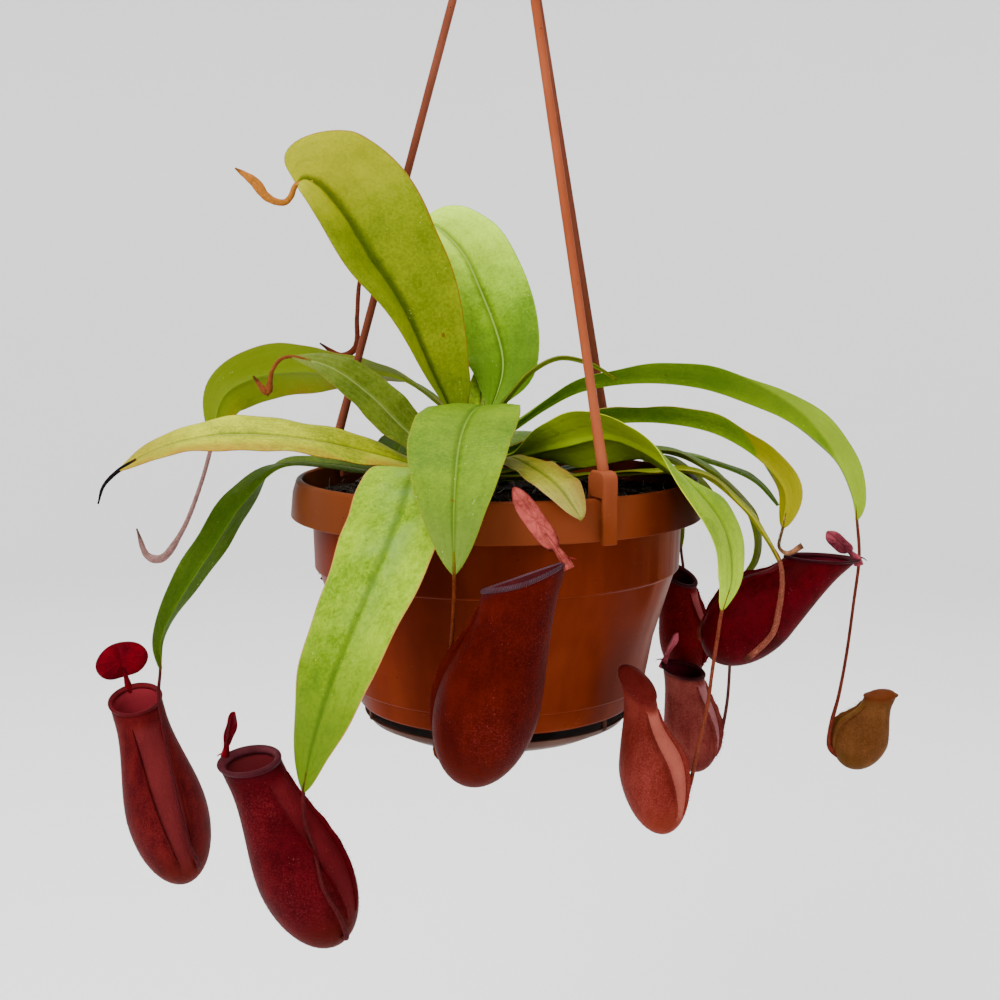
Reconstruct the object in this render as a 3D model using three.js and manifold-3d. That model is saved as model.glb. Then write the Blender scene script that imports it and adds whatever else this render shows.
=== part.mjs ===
// Hanging pitcher plant: a tropical pitcher plant in a plastic hanging pot with a clip-on saucer.
// Lengths are millimetres, +Z is up and -Y is the front. Heights are measured from the top of the
// pot's rim, and the last group moves the whole plant so that its origin is where the hook hangs.
import * as THREE from 'three';
import { mergeVertices } from 'three/addons/utils/BufferGeometryUtils.js';
import Module from 'manifold-3d';

const wasm = await Module();
wasm.setup();

// Driving dimensions
const gap = 0.3;
const rimRadius = 75;
const rimTopRadius = 72.6;
const rimDepth = 13.7;
const bodyRadius = 66.7;
const stepDepth = 32.7;
const lowerRadius = 54.6;
const lowerDepth = 75.4;
const footRadius = 51.1;
const potHeight = 83.2;
const potWall = 1.6;
const floorThickness = 2;
const shelfDepth = 9.7;
const drainRadius = 3.5;
const drainCircle = 30;
const drainHoles = 6;
const potSides = 24;
const saucerRadius = 49.5;
const saucerFlatRadius = 40;
const saucerRimDepth = 86.2;
const saucerDepth = 92.6;
const saucerPosts = 6;
const soilDepth = 6;
const stemRadius = 5.5;
const stemTop = 27;
const stemFoot = -42;
const crownCentre = new THREE.Vector3(-5, 0, 0);
const rodRadius = 1.5;
const rodSides = 8;
const armHeadings = [28, 142, 240];
const clipWidth = 5.4;
const apex = new THREE.Vector3(3, 0, 233);
const hookRadius = 11;
const hookRodRadius = 1.9;
const neckHeight = 22;
const bladeThickness = 0.9;
const clasp = 14;
const tipCrowding = 1.4;
const tipGap = 0.6;
const tendrilSides = 5;
const pitcherSides = 10;
const pitcherWall = 1;
const pitcherDepth = 0.94;
const lipOverhang = 0.6;
const lidNeck = 3;
const lidThickness = 1;
const spurLength = 3.5;
const wingSteps = 4;
const wingHeight = 2;
const wingThickness = 0.9;

// Colours, as seen in daylight
const finishes = {
  potPlastic: { color: 0x8a4420, roughness: 0.5 },
  saucerPlastic: { color: 0x5b3a2a, roughness: 0.55 },
  hangerPlastic: { color: 0xb45f43, roughness: 0.45 },
  soil: { color: 0x1d1713, roughness: 1 },
  stem: { color: 0x6f8a2c, roughness: 0.6 },
  leafYellow: { color: 0x9aa61c, roughness: 0.5 },
  leafLight: { color: 0x8fb53c, roughness: 0.5 },
  leafMid: { color: 0x6f9a30, roughness: 0.5 },
  leafDark: { color: 0x2f5a22, roughness: 0.5 },
  pitcherRed: { color: 0x5e0f16, roughness: 0.55 },
  pitcherBrick: { color: 0x8a2f28, roughness: 0.55 },
  pitcherOlive: { color: 0x7a5a1e, roughness: 0.55 },
  budBrown: { color: 0xa86a34, roughness: 0.6 }
};

const materials = {};
for (const [name, finish] of Object.entries(finishes)) {
  materials[name] = new THREE.MeshStandardMaterial({ ...finish, metalness: 0, name });
}

const plant = new THREE.Group();

function add(name, geometry, finish) {
  const mesh = new THREE.Mesh(geometry, materials[finish]);
  mesh.name = name;
  plant.add(mesh);
  return mesh;
}

// A direction in plan: 0 is the front, 90 the right, 180 the back and 270 the left
function outward(heading) {
  const angle = THREE.MathUtils.degToRad(heading);
  return new THREE.Vector3(Math.sin(angle), -Math.cos(angle), 0);
}

// The direction to the right hand of someone who looks along a heading
function rightHand(heading) {
  return outward(heading).cross(new THREE.Vector3(0, 0, 1));
}

// A value read from evenly spaced stops
function blendStops(stops, t) {
  const place = THREE.MathUtils.clamp(t, 0, 1) * (stops.length - 1);
  const i = Math.min(Math.floor(place), stops.length - 2);
  const f = place - i;
  return THREE.MathUtils.lerp(stops[i], stops[i + 1], f * f * (3 - 2 * f));
}

// Solids for joining and cutting
function toSolid(geometry) {
  const bare = new THREE.BufferGeometry();
  bare.setAttribute('position', geometry.getAttribute('position').clone());
  if (geometry.index) {
    bare.setIndex(geometry.index.clone());
  }
  const merged = mergeVertices(bare, 1e-4);
  const mesh = new wasm.Mesh({
    numProp: 3,
    vertProperties: new Float32Array(merged.getAttribute('position').array),
    triVerts: new Uint32Array(merged.index.array)
  });
  return new wasm.Manifold(mesh);
}

function fromSolid(solid) {
  const mesh = solid.getMesh();
  const geometry = new THREE.BufferGeometry();
  geometry.setAttribute('position', new THREE.BufferAttribute(mesh.vertProperties, 3));
  geometry.setIndex(new THREE.BufferAttribute(mesh.triVerts, 1));
  geometry.computeVertexNormals();
  return geometry;
}

function join(geometries) {
  return fromSolid(geometries.map(toSolid).reduce((whole, next) => whole.add(next)));
}

function cut(geometry, tools) {
  return fromSolid(tools.map(toSolid).reduce((whole, next) => whole.subtract(next), toSolid(geometry)));
}

// A closed body from a list of points and triangles, turned so that its faces point outwards
function closedBody(points, triangles) {
  let volume = 0;
  const normal = new THREE.Vector3();
  for (const [a, b, c] of triangles) {
    volume += normal.copy(points[a]).cross(points[b]).dot(points[c]);
  }
  const outwardFaces = volume < 0 ? triangles.map(([a, b, c]) => [a, c, b]) : triangles;
  const geometry = new THREE.BufferGeometry().setFromPoints(points);
  geometry.setIndex(outwardFaces.flat());
  geometry.computeVertexNormals();
  return geometry;
}

// A skin through rings of points, closed with a fan at each end
function loft(rings) {
  const count = rings[0].length;
  const points = rings.flat();
  const triangles = [];
  for (let i = 0; i + 1 < rings.length; i++) {
    for (let k = 0; k < count; k++) {
      const a = i * count + k;
      const b = i * count + (k + 1) % count;
      triangles.push([a, b, b + count], [a, b + count, a + count]);
    }
  }
  const ends = [[rings[0], 0, true], [rings.at(-1), points.length - count, false]];
  for (const [ring, start, back] of ends) {
    const middle = points.length;
    const centre = ring.reduce((sum, p) => sum.add(p), new THREE.Vector3()).divideScalar(count);
    points.push(centre);
    for (let k = 0; k < count; k++) {
      const a = start + k;
      const b = start + (k + 1) % count;
      triangles.push(back ? [a, middle, b] : [a, b, middle]);
    }
  }
  return closedBody(points, triangles);
}

// A round rod along a curve, with its radius read from stops
function rod(curve, radii, steps, sides) {
  const frames = curve.computeFrenetFrames(steps, false);
  const rings = [];
  for (let i = 0; i <= steps; i++) {
    const centre = curve.getPointAt(i / steps);
    const radius = blendStops(radii, i / steps);
    const ring = [];
    for (let k = 0; k < sides; k++) {
      const angle = 2 * Math.PI * k / sides;
      ring.push(centre.clone()
        .addScaledVector(frames.normals[i], radius * Math.cos(angle))
        .addScaledVector(frames.binormals[i], radius * Math.sin(angle)));
    }
    rings.push(ring);
  }
  return loft(rings);
}

// A profile of radius and height turned round the pot's axis
function turned(profile, sides) {
  const geometry = new THREE.LatheGeometry(profile.map(([r, z]) => new THREE.Vector2(r, z)), sides);
  geometry.rotateX(Math.PI / 2);
  return geometry;
}

// Pot: a skirted rim over a body that tapers, with a step under the upper band and above the foot
function makePot() {
  const inner = bodyRadius - potWall;
  const profile = [
    [0, -potHeight], [footRadius - 1, -potHeight], [footRadius, -potHeight + 1],
    [lowerRadius - 2, -lowerDepth - 0.2], [lowerRadius, -lowerDepth],
    [bodyRadius - 8.9, -58], [bodyRadius - 1.4, -stepDepth - 0.6], [bodyRadius, -stepDepth],
    [bodyRadius + 0.6, -rimDepth + 2.4], [rimRadius - 1.7, -rimDepth + 2.4],
    [rimRadius - 1.7, -rimDepth], [rimRadius, -rimDepth], [rimRadius - 0.8, -5],
    [rimTopRadius + 0.3, -0.7], [rimTopRadius - 0.6, 0], [rimTopRadius - 1.6, 0],
    [rimTopRadius - 2, -0.6], [rimTopRadius - 2, -shelfDepth], [inner + 0.5, -shelfDepth],
    [inner, -stepDepth], [inner - 1.4, -stepDepth - 0.8], [inner - 8.9, -58],
    [lowerRadius - potWall - 2, -lowerDepth],
    [footRadius - potWall - 1, -potHeight + floorThickness], [0, -potHeight + floorThickness]
  ];
  const drains = [];
  for (let i = 0; i < drainHoles; i++) {
    const drain = new THREE.CylinderGeometry(drainRadius, drainRadius, 8, 10).rotateX(Math.PI / 2);
    const place = outward(360 * i / drainHoles).multiplyScalar(drainCircle);
    drain.translate(place.x, place.y, -potHeight);
    drains.push(drain);
  }
  return cut(turned(profile, potSides), drains);
}

// Saucer: a shallow dish with small posts that clip to the pot's foot
function makeSaucer() {
  const dish = turned([
    [0, -saucerDepth], [saucerFlatRadius, -saucerDepth], [saucerRadius - 2, -saucerRimDepth - 2.5],
    [saucerRadius, -saucerRimDepth], [saucerRadius - potWall, -saucerRimDepth],
    [saucerRadius - 3.4, -saucerRimDepth - 2], [saucerFlatRadius - 1, -saucerDepth + potWall],
    [0, -saucerDepth + potWall]
  ], potSides);
  const postHeight = saucerRimDepth - potHeight - gap + 1.2;
  const posts = [];
  for (let i = 0; i < saucerPosts; i++) {
    const post = new THREE.BoxGeometry(1.2, 2.2, postHeight);
    post.translate(saucerRadius - 0.9, 0, -potHeight - gap - postHeight / 2);
    post.rotateZ(2 * Math.PI * (i + 0.35) / saucerPosts);
    posts.push(post);
  }
  return join([dish, ...posts]);
}

// Soil: fills the pot, with a plain hole for the stem
function makeSoil() {
  const inner = bodyRadius - potWall - gap;
  const plug = turned([
    [0, -potHeight + floorThickness + gap],
    [footRadius - potWall - 1.6, -potHeight + floorThickness + gap],
    [lowerRadius - potWall - 2.6, -lowerDepth + 0.2], [inner - 9.3, -58],
    [inner - 1.6, -stepDepth - 0.6], [inner, -stepDepth], [inner + 0.4, -shelfDepth + gap],
    [rimTopRadius - 2 - gap, -shelfDepth + gap], [rimTopRadius - 2 - gap, -soilDepth - 2],
    [40, -soilDepth], [0, -soilDepth + 1.5]
  ], potSides);
  const holeDepth = -stemFoot + gap;
  const hole = new THREE.CylinderGeometry(stemRadius + gap, stemRadius + gap, holeDepth, 12);
  hole.rotateX(Math.PI / 2);
  hole.translate(crownCentre.x, crownCentre.y, -holeDepth / 2);
  return cut(plug, [hole]);
}

// Hanger: three rods from clips over the rim to a neck with an open hook, moulded as one piece
function makeClip(heading) {
  const outline = new THREE.Shape();
  const outerFace = rimRadius + 2.6;
  const innerFace = rimTopRadius - 5;
  outline.moveTo(outerFace - 1.8, -rimDepth - 1);
  outline.lineTo(outerFace, -rimDepth - 1);
  outline.lineTo(outerFace, 6);
  outline.quadraticCurveTo(outerFace, 9, outerFace - 3, 9);
  outline.lineTo(innerFace + 2, 9);
  outline.lineTo(innerFace, 7);
  outline.lineTo(innerFace, -5);
  outline.lineTo(innerFace + 1.8, -5);
  outline.lineTo(innerFace + 1.8, gap);
  outline.lineTo(outerFace - 1.8, gap);
  const settings = { depth: clipWidth, bevelEnabled: false, curveSegments: 4 };
  const clip = new THREE.ExtrudeGeometry(outline, settings);
  clip.translate(0, 0, -clipWidth / 2);
  clip.rotateX(Math.PI / 2);
  clip.rotateZ(THREE.MathUtils.degToRad(heading - 90));
  return clip;
}

function makeHanger() {
  const pieces = [];
  for (const heading of armHeadings) {
    const foot = outward(heading).multiplyScalar(rimRadius - 1.2).setZ(6);
    const arm = new THREE.LineCurve3(foot, apex);
    pieces.push(rod(arm, [rodRadius, rodRadius], 1, rodSides), makeClip(heading));
  }
  const neckFoot = apex.clone().setZ(apex.z - 12);
  const neck = new THREE.LineCurve3(neckFoot, apex.clone().setZ(apex.z + neckHeight));
  pieces.push(rod(neck, [3.6, 2.6, hookRodRadius], 4, rodSides));
  const bend = [];
  for (let i = 0; i <= 12; i++) {
    const angle = THREE.MathUtils.degToRad(-90 + 250 * i / 12);
    const centre = apex.clone().add(new THREE.Vector3(0, 0, neckHeight + hookRadius - 0.5));
    centre.x += hookRadius * Math.cos(angle);
    centre.z += hookRadius * Math.sin(angle);
    bend.push(centre);
  }
  pieces.push(rod(new THREE.CatmullRomCurve3(bend), [hookRodRadius, hookRodRadius], 16, rodSides));
  return join(pieces);
}

// A route in a plant part's own frame: how far out from the crown, how high above the rim, and how
// far to the right hand
function route(heading, stations) {
  const out = outward(heading);
  const right = rightHand(heading);
  const points = stations.map(([reach, height, sway = 0]) => crownCentre.clone()
    .addScaledVector(out, reach)
    .addScaledVector(right, sway)
    .add(new THREE.Vector3(0, 0, height)));
  return new THREE.CatmullRomCurve3(points, false, 'centripetal');
}

// One cross-section of a blade: two halves folded up from the rib by their own angles, with
// drooping edges, thick near the stem and thin at the tip
function bladeSection(leaf, curve, t, places) {
  const centre = curve.getPointAt(t);
  const along = curve.getTangentAt(t);
  const side = rightHand(leaf.heading);
  side.addScaledVector(along, -side.dot(along)).normalize();
  const face = side.clone().cross(along);
  const twist = THREE.MathUtils.degToRad(blendStops(leaf.twist, t));
  const across = side.clone().multiplyScalar(Math.cos(twist)).addScaledVector(face, Math.sin(twist));
  const up = across.clone().cross(along);
  const swell = Math.sin(Math.PI * t ** (Math.log(0.5) / Math.log(leaf.widest)));
  const petiole = THREE.MathUtils.lerp(5, 0.9, THREE.MathUtils.smoothstep(t, 0, 1));
  const opening = THREE.MathUtils.smoothstep(t, -0.04, 0.22);
  const blunt = leaf.blunt ?? 1;
  const rounding = Math.sqrt(1 - Math.max(0, (t - blunt) / (1 - blunt || 1)) ** 2);
  const halfWidth = Math.max(petiole, leaf.width * opening * rounding * swell ** leaf.fullness) / 2;
  const half = THREE.MathUtils.lerp(2, bladeThickness, Math.min(1, t * 4)) / 2;
  const upper = [];
  const lower = [];
  for (const f of places) {
    const fold = THREE.MathUtils.degToRad(leaf.fold[f < 0 ? 0 : 1]);
    const droop = 0.12 * f * f * halfWidth;
    const middle = centre.clone()
      .addScaledVector(across, halfWidth * f * Math.cos(fold))
      .addScaledVector(up, halfWidth * Math.abs(f) * Math.sin(fold) - droop);
    upper.push(middle.clone().addScaledVector(up, half));
    lower.push(middle.clone().addScaledVector(up, -half));
  }
  return [...upper, ...lower.reverse()];
}

// A blade between two places on its rib. Both faces are split into triangles alike.
function makeBlade(leaf, from, to, steps, places) {
  const curve = route(leaf.heading, leaf.arch);
  const points = [];
  for (let i = 0; i <= steps; i++) {
    const share = 1 - (1 - i / steps) ** tipCrowding;
    points.push(...bladeSection(leaf, curve, THREE.MathUtils.lerp(from, to, share), places));
  }
  const count = 2 * places.length;
  const triangles = [];
  for (let i = 0; i < steps; i++) {
    for (let k = 0; k < count; k++) {
      const a = i * count + k;
      const b = i * count + (k + 1) % count;
      if (k < count / 2) {
        triangles.push([a, b, b + count], [a, b + count, a + count]);
      } else {
        triangles.push([a, b, a + count], [b, b + count, a + count]);
      }
    }
  }
  const last = steps * count;
  for (let k = 0; k + 1 < places.length; k++) {
    const opposite = count - 1 - k;
    triangles.push([k, opposite, opposite - 1], [k, opposite - 1, k + 1]);
    triangles.push([last + k, last + opposite - 1, last + opposite]);
    triangles.push([last + k, last + k + 1, last + opposite - 1]);
  }
  return closedBody(points, triangles);
}

// Where a leaf ends, with the small gap to what grows from its tip
function tipOf(leaf) {
  const curve = route(leaf.heading, leaf.arch);
  return curve.getPointAt(1).addScaledVector(curve.getTangentAt(1), tipGap);
}

function place(leaf, [reach, height, sway = 0]) {
  return crownCentre.clone()
    .addScaledVector(outward(leaf.heading), reach)
    .addScaledVector(rightHand(leaf.heading), sway)
    .add(new THREE.Vector3(0, 0, height));
}

function tendrilCurve(leaf, stations, ...ends) {
  const points = [tipOf(leaf), ...stations.map(station => place(leaf, station)), ...ends];
  return new THREE.CatmullRomCurve3(points, false, 'centripetal');
}

// A pitcher's own directions: up its axis, towards its winged front, and to the side
function pitcherFrame(leaf, pitcher) {
  const base = place(leaf, pitcher.base);
  const mouth = place(leaf, pitcher.mouth);
  const axis = mouth.clone().sub(base);
  const length = axis.length();
  axis.normalize();
  const front = outward(pitcher.facing);
  front.addScaledVector(axis, -front.dot(axis)).normalize();
  const side = front.clone().cross(axis);
  return { base, axis, front, side, length };
}

// How wide the trap is at a share of its length: a round belly, then a waist up to the throat
function girth(pitcher, s) {
  if (s < pitcher.bellyAt) {
    return pitcher.belly * Math.sqrt(1 - (1 - s / pitcher.bellyAt) ** 2);
  }
  const share = THREE.MathUtils.smoothstep(s, pitcher.bellyAt, 0.9);
  return THREE.MathUtils.lerp(pitcher.belly, pitcher.throat, share);
}

// How steeply a ring leans over, towards the slanted plane of the opening
function mouthLean(pitcher, s) {
  return Math.tan(THREE.MathUtils.degToRad(pitcher.slant)) * THREE.MathUtils.smoothstep(s, 0.5, 1);
}

function pitcherRing(pitcher, frame, s, radius, lift) {
  const lean = mouthLean(pitcher, s);
  const ring = [];
  for (let k = 0; k < pitcherSides; k++) {
    const angle = 2 * Math.PI * k / pitcherSides;
    const ahead = radius * Math.cos(angle);
    ring.push(frame.base.clone()
      .addScaledVector(frame.axis, s * frame.length + lift - lean * ahead)
      .addScaledVector(frame.front, ahead)
      .addScaledVector(frame.side, pitcherDepth * radius * Math.sin(angle)));
  }
  return ring;
}

const outerRows = [0.01, 0.08, 0.2, 0.38, 0.6, 0.86];
const innerRows = [0.86, 0.36, 0.14];

// The trap: an open, hollow sack with a rolled lip, or a closed young one
function makeTrap(pitcher, frame) {
  const rings = outerRows.map(s => pitcherRing(pitcher, frame, s, girth(pitcher, s), 0));
  const lip = pitcher.lip;
  const edge = pitcher.throat;
  if (lip) {
    // The lip rolls outwards over the rim of the trap and back in to the throat.
    rings.push(
      pitcherRing(pitcher, frame, 1, edge, -lip),
      pitcherRing(pitcher, frame, 1, edge + lipOverhang, -0.6 * lip),
      pitcherRing(pitcher, frame, 1, edge + 0.6 * lipOverhang, 0.2 * lip),
      pitcherRing(pitcher, frame, 1, edge - 0.5 * lip, 0.5 * lip),
      pitcherRing(pitcher, frame, 1, edge - lip, -0.1 * lip),
      ...innerRows.map(s => pitcherRing(pitcher, frame, s, girth(pitcher, s) - pitcherWall, 0)));
  } else {
    rings.push(
      pitcherRing(pitcher, frame, 1, edge, 0),
      pitcherRing(pitcher, frame, 1, edge + 0.6, 0.6),
      pitcherRing(pitcher, frame, 1, 0.7 * edge, 2.2),
      pitcherRing(pitcher, frame, 1, 0.3 * edge, 3));
  }
  return loft(rings);
}

// Two fringed wings that run down the front of the trap
function makeWing(pitcher, frame, turn) {
  const rings = [];
  for (let i = 0; i <= wingSteps; i++) {
    const s = THREE.MathUtils.lerp(0.9, 0.16, i / wingSteps);
    const radius = girth(pitcher, s);
    const angle = turn * THREE.MathUtils.lerp(0.55, 0.2, i / wingSteps);
    const spread = wingThickness / 2 / radius;
    const height = wingHeight * Math.sin(Math.PI * (0.12 + 0.8 * i / wingSteps));
    const lean = mouthLean(pitcher, s);
    const root = -pitcherWall / 2;
    const corners = [[-spread, root], [-spread, height], [spread, height], [spread, root]];
    rings.push(corners.map(([offset, rise]) => {
      const ahead = (radius + rise) * Math.cos(angle + offset);
      return frame.base.clone()
        .addScaledVector(frame.axis, s * frame.length - lean * ahead)
        .addScaledVector(frame.front, ahead)
        .addScaledVector(frame.side, pitcherDepth * (radius + rise) * Math.sin(angle + offset));
    }));
  }
  return loft(rings);
}

// A dished lid on a short neck at the back of the mouth, with a spur behind it
function makeLid(pitcher, frame) {
  const slant = THREE.MathUtils.degToRad(pitcher.slant);
  const forward = frame.front.clone().multiplyScalar(Math.cos(slant));
  forward.addScaledVector(frame.axis, -Math.sin(slant));
  const up = frame.side.clone().cross(forward).negate();
  if (up.dot(frame.axis) < 0) {
    up.negate();
  }
  const top = frame.base.clone().addScaledVector(frame.axis, frame.length);
  const hinge = top.clone()
    .addScaledVector(forward, -pitcher.throat / Math.cos(slant))
    .addScaledVector(up, 0.2);
  const open = THREE.MathUtils.degToRad(pitcher.open);
  const reach = forward.clone().multiplyScalar(Math.cos(open)).addScaledVector(up, Math.sin(open));
  const across = frame.side.clone().applyAxisAngle(reach, THREE.MathUtils.degToRad(pitcher.roll ?? 0));
  const face = across.clone().cross(reach);
  const [lidLength, lidWidth] = pitcher.lid;
  const centre = hinge.clone().addScaledVector(reach, lidNeck + lidLength / 2);
  const rings = [-lidThickness / 2, lidThickness / 2].map(level => {
    const ring = [];
    for (let k = 0; k < pitcherSides; k++) {
      const angle = 2 * Math.PI * k / pitcherSides;
      ring.push(centre.clone()
        .addScaledVector(reach, 0.5 * lidLength * Math.cos(angle))
        .addScaledVector(across, 0.5 * lidWidth * Math.sin(angle))
        .addScaledVector(face, level));
    }
    return ring;
  });
  const stalk = new THREE.LineCurve3(
    hinge.clone().addScaledVector(up, -1.4).addScaledVector(reach, -0.4),
    hinge.clone().addScaledVector(reach, lidNeck + 0.25 * lidLength));
  const spur = new THREE.LineCurve3(
    hinge.clone().addScaledVector(reach, 1),
    hinge.clone().addScaledVector(forward, -spurLength).addScaledVector(up, 0.5));
  return [loft(rings), rod(stalk, [1.5, 0.8], 1, 5), rod(spur, [0.9, 0.4], 1, 4)];
}

function makePitcher(leaf, pitcher) {
  const frame = pitcherFrame(leaf, pitcher);
  const sunk = frame.base.clone().addScaledVector(frame.axis, 0.1 * frame.length);
  const curve = tendrilCurve(leaf, pitcher.tendril, sunk);
  const pieces = [makeTrap(pitcher, frame), rod(curve, [0.8, 0.9, 1, 1.7], 9, tendrilSides)];
  pieces.push(makeWing(pitcher, frame, 1), makeWing(pitcher, frame, -1));
  if (pitcher.lid) {
    pieces.push(...makeLid(pitcher, frame));
  }
  return join(pieces);
}

// Leaves. The arch gives the rib's route from the stem to the tip; width, fold and twist shape the
// blade, and widest says how far along it the blade is widest. A blunt leaf has its tip rounded
// from that share of its length on.
const leaves = {
  tall_front: {
    heading: 267,
    arch: [[2, 8], [9, 18], [17, 34], [30, 63], [40, 78], [50, 94], [59, 104], [64, 106], [67, 104]],
    width: 54, widest: 0.78, fullness: 0.25, blunt: 0.92, fold: [70, 5], twist: [60, 75, 85, 80],
    finish: 'leafYellow'
  },
  tall_back: {
    heading: 205,
    arch: [[2, 18], [8, 28, 9], [13, 41, 14], [30, 68, 12], [40, 83, 8], [55, 93, 0], [69, 87, -11]],
    width: 38, widest: 0.5, fullness: 0.7, fold: [20, 20], twist: [20, 30, 30, 10],
    finish: 'leafLight'
  },
  arch_left: {
    heading: 234,
    arch: [[3, 14], [20, 25, 1], [46, 34, 8], [75, 35, 10], [115, 33, 4], [131, 24, -4],
      [137, 5, -6]], width: 25, widest: 0.7, fullness: 0.6, fold: [14, 14],
    twist: [0, -30, -60, -70], finish: 'leafMid'
  },
  short_left: {
    heading: 272, arch: [[3, 5], [18, 8], [29, 17], [41, 29], [55, 39], [69, 43]], width: 22,
    widest: 0.5, fullness: 0.8, fold: [14, 14], twist: [20, 40, 40], finish: 'leafMid'
  },
  level_left: {
    heading: 288, arch: [[3, -1], [16, 1], [38, 8], [67, 15], [95, 17], [115, 13], [129, 6]],
    width: 29, widest: 0.55, fullness: 0.7, fold: [10, 10], twist: [10, 20, 20, 20],
    finish: 'leafLight'
  },
  long_left: {
    heading: 274,
    arch: [[3, -1], [30, 0], [56, 4], [74, 4], [87, -8], [100, -27], [113, -47], [119, -60],
      [119, -71]], width: 19.5, widest: 0.5, fullness: 0.55, fold: [14, 14],
    twist: [10, 10, 5, -40, -40, -20], finish: 'leafDark'
  },
  broad_front: {
    heading: 325,
    arch: [[3, 0], [40, 5, -6], [62, 6, -16], [78, -5, -23], [95, -31, -22], [103, -50, -18],
      [107, -73, -12], [109, -87, -10]], width: 38, widest: 0.5, fullness: 0.65, fold: [10, 10],
    twist: [0, 0, 0], finish: 'leafLight'
  },
  middle_front: {
    heading: 350,
    arch: [[3, 10], [12, 24, -3], [40, 26, -4], [66, 19, -5], [90, 3, -8], [100, -18, -10]],
    width: 35, widest: 0.5, fullness: 0.7, fold: [10, 10], twist: [0, 0, 0], finish: 'leafLight'
  },
  short_front: {
    heading: 22, arch: [[3, -1], [21, 8], [48, 8, 2], [74, 4, 3], [88, -4, 2]], width: 18,
    widest: 0.65, fullness: 0.6, fold: [12, 12], twist: [0, 0, 0], finish: 'leafLight'
  },
  near_right: {
    heading: 55,
    arch: [[3, 4], [18, 9], [36, 13, 2], [53, 17, 2], [67, 14, 2], [84, 4, 2], [97, -11, 0],
      [100, -27, 0], [98, -38, 2]], width: 38, widest: 0.62, fullness: 0.6, fold: [8, 8],
    twist: [10, 50, 30, 10, 0], finish: 'leafLight'
  },
  under_right: {
    heading: 90,
    arch: [[3, 0], [28, 5, 2], [49, 9, 2], [71, 8, 2], [90, -4, 1], [100, -19, 0], [100, -32, 0],
      [95, -39, 1]], width: 24, widest: 0.65, fullness: 0.6, fold: [10, 10], twist: [0, 0, 0],
    finish: 'leafMid'
  },
  cut_right: {
    heading: 80,
    arch: [[3, -1], [40, 1, 2], [60, 3, 4], [79, 3, 6], [94, -8, 8], [103, -20, 10], [107, -27, 11]],
    width: 12, widest: 0.75, fullness: 0.6, fold: [10, 10], twist: [0, 0, 0], finish: 'leafYellow'
  },
  twisted_right: {
    heading: 80,
    arch: [[3, 7], [14, 11], [28, 17], [43, 20], [64, 21], [85, 17], [101, 7], [109, -4], [108, -17]],
    width: 20, widest: 0.6, fullness: 0.5, fold: [24, 24], twist: [10, 20, 20, 50],
    finish: 'leafLight'
  },
  dark_right: {
    heading: 104,
    arch: [[3, 3], [22, 6, -3], [46, 9, -3], [70, 7, -3], [94, 1, -3], [109, -6, -3], [119, -16, -3]],
    width: 18, widest: 0.6, fullness: 0.6, fold: [10, 10], twist: [0, 0, 0], finish: 'leafDark'
  },
  long_right: {
    heading: 98,
    arch: [[3, 12], [12, 18], [23, 25], [36, 31], [58, 34], [81, 32], [100, 26], [120, 17], [136, 3],
      [143, -12], [144, -20]], width: 26, widest: 0.62, fullness: 0.55, fold: [26, 26],
    twist: [10, 20, 20, 10], finish: 'leafLight'
  },
  young_curl: {
    heading: 92, arch: [[2, 20], [10, 30, 1], [17, 38, 5], [27, 43, 6], [38, 41, 6], [48, 35, 7]],
    width: 3, widest: 0.5, fullness: 0.4, fold: [10, 10], twist: [0, 0, 0], finish: 'leafMid'
  },
  young_back: {
    heading: 190, arch: [[1, 12, 1], [6, 20, 0], [14, 31, 2], [20, 41, 6]], width: 10, widest: 0.6,
    fullness: 0.5, fold: [10, 10], twist: [0, 0, 0], finish: 'leafLight'
  },
  back_right: {
    heading: 114,
    arch: [[3, -1], [32, 0, -1], [58, 3, -3], [80, 2, -3], [97, -12, -2], [104, -32, 1],
      [103, -49, 5]], width: 14, widest: 0.5, fullness: 0.6, fold: [10, 10], twist: [0, 0, 0],
    finish: 'leafMid'
  },
  low_back_right: {
    heading: 128, arch: [[3, 4], [30, 9], [56, 9], [78, 4], [92, -8, 2], [98, -26, 3], [98, -38, 5]],
    width: 16, widest: 0.5, fullness: 0.6, fold: [10, 10], twist: [0, 0, 0], finish: 'leafMid'
  },
  middle_back: {
    heading: 172, arch: [[3, 1], [28, 5], [58, 10], [80, 3], [92, -16], [96, -36]], width: 28,
    widest: 0.5, fullness: 0.6, fold: [10, 10], twist: [0, 0, 0], finish: 'leafMid'
  },
  low_back_left: {
    heading: 207, arch: [[3, 3], [28, 9], [56, 11], [78, 4], [90, -12], [95, -30]], width: 24,
    widest: 0.5, fullness: 0.6, fold: [10, 10], twist: [0, 0, 0], finish: 'leafDark'
  }
};

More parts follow.
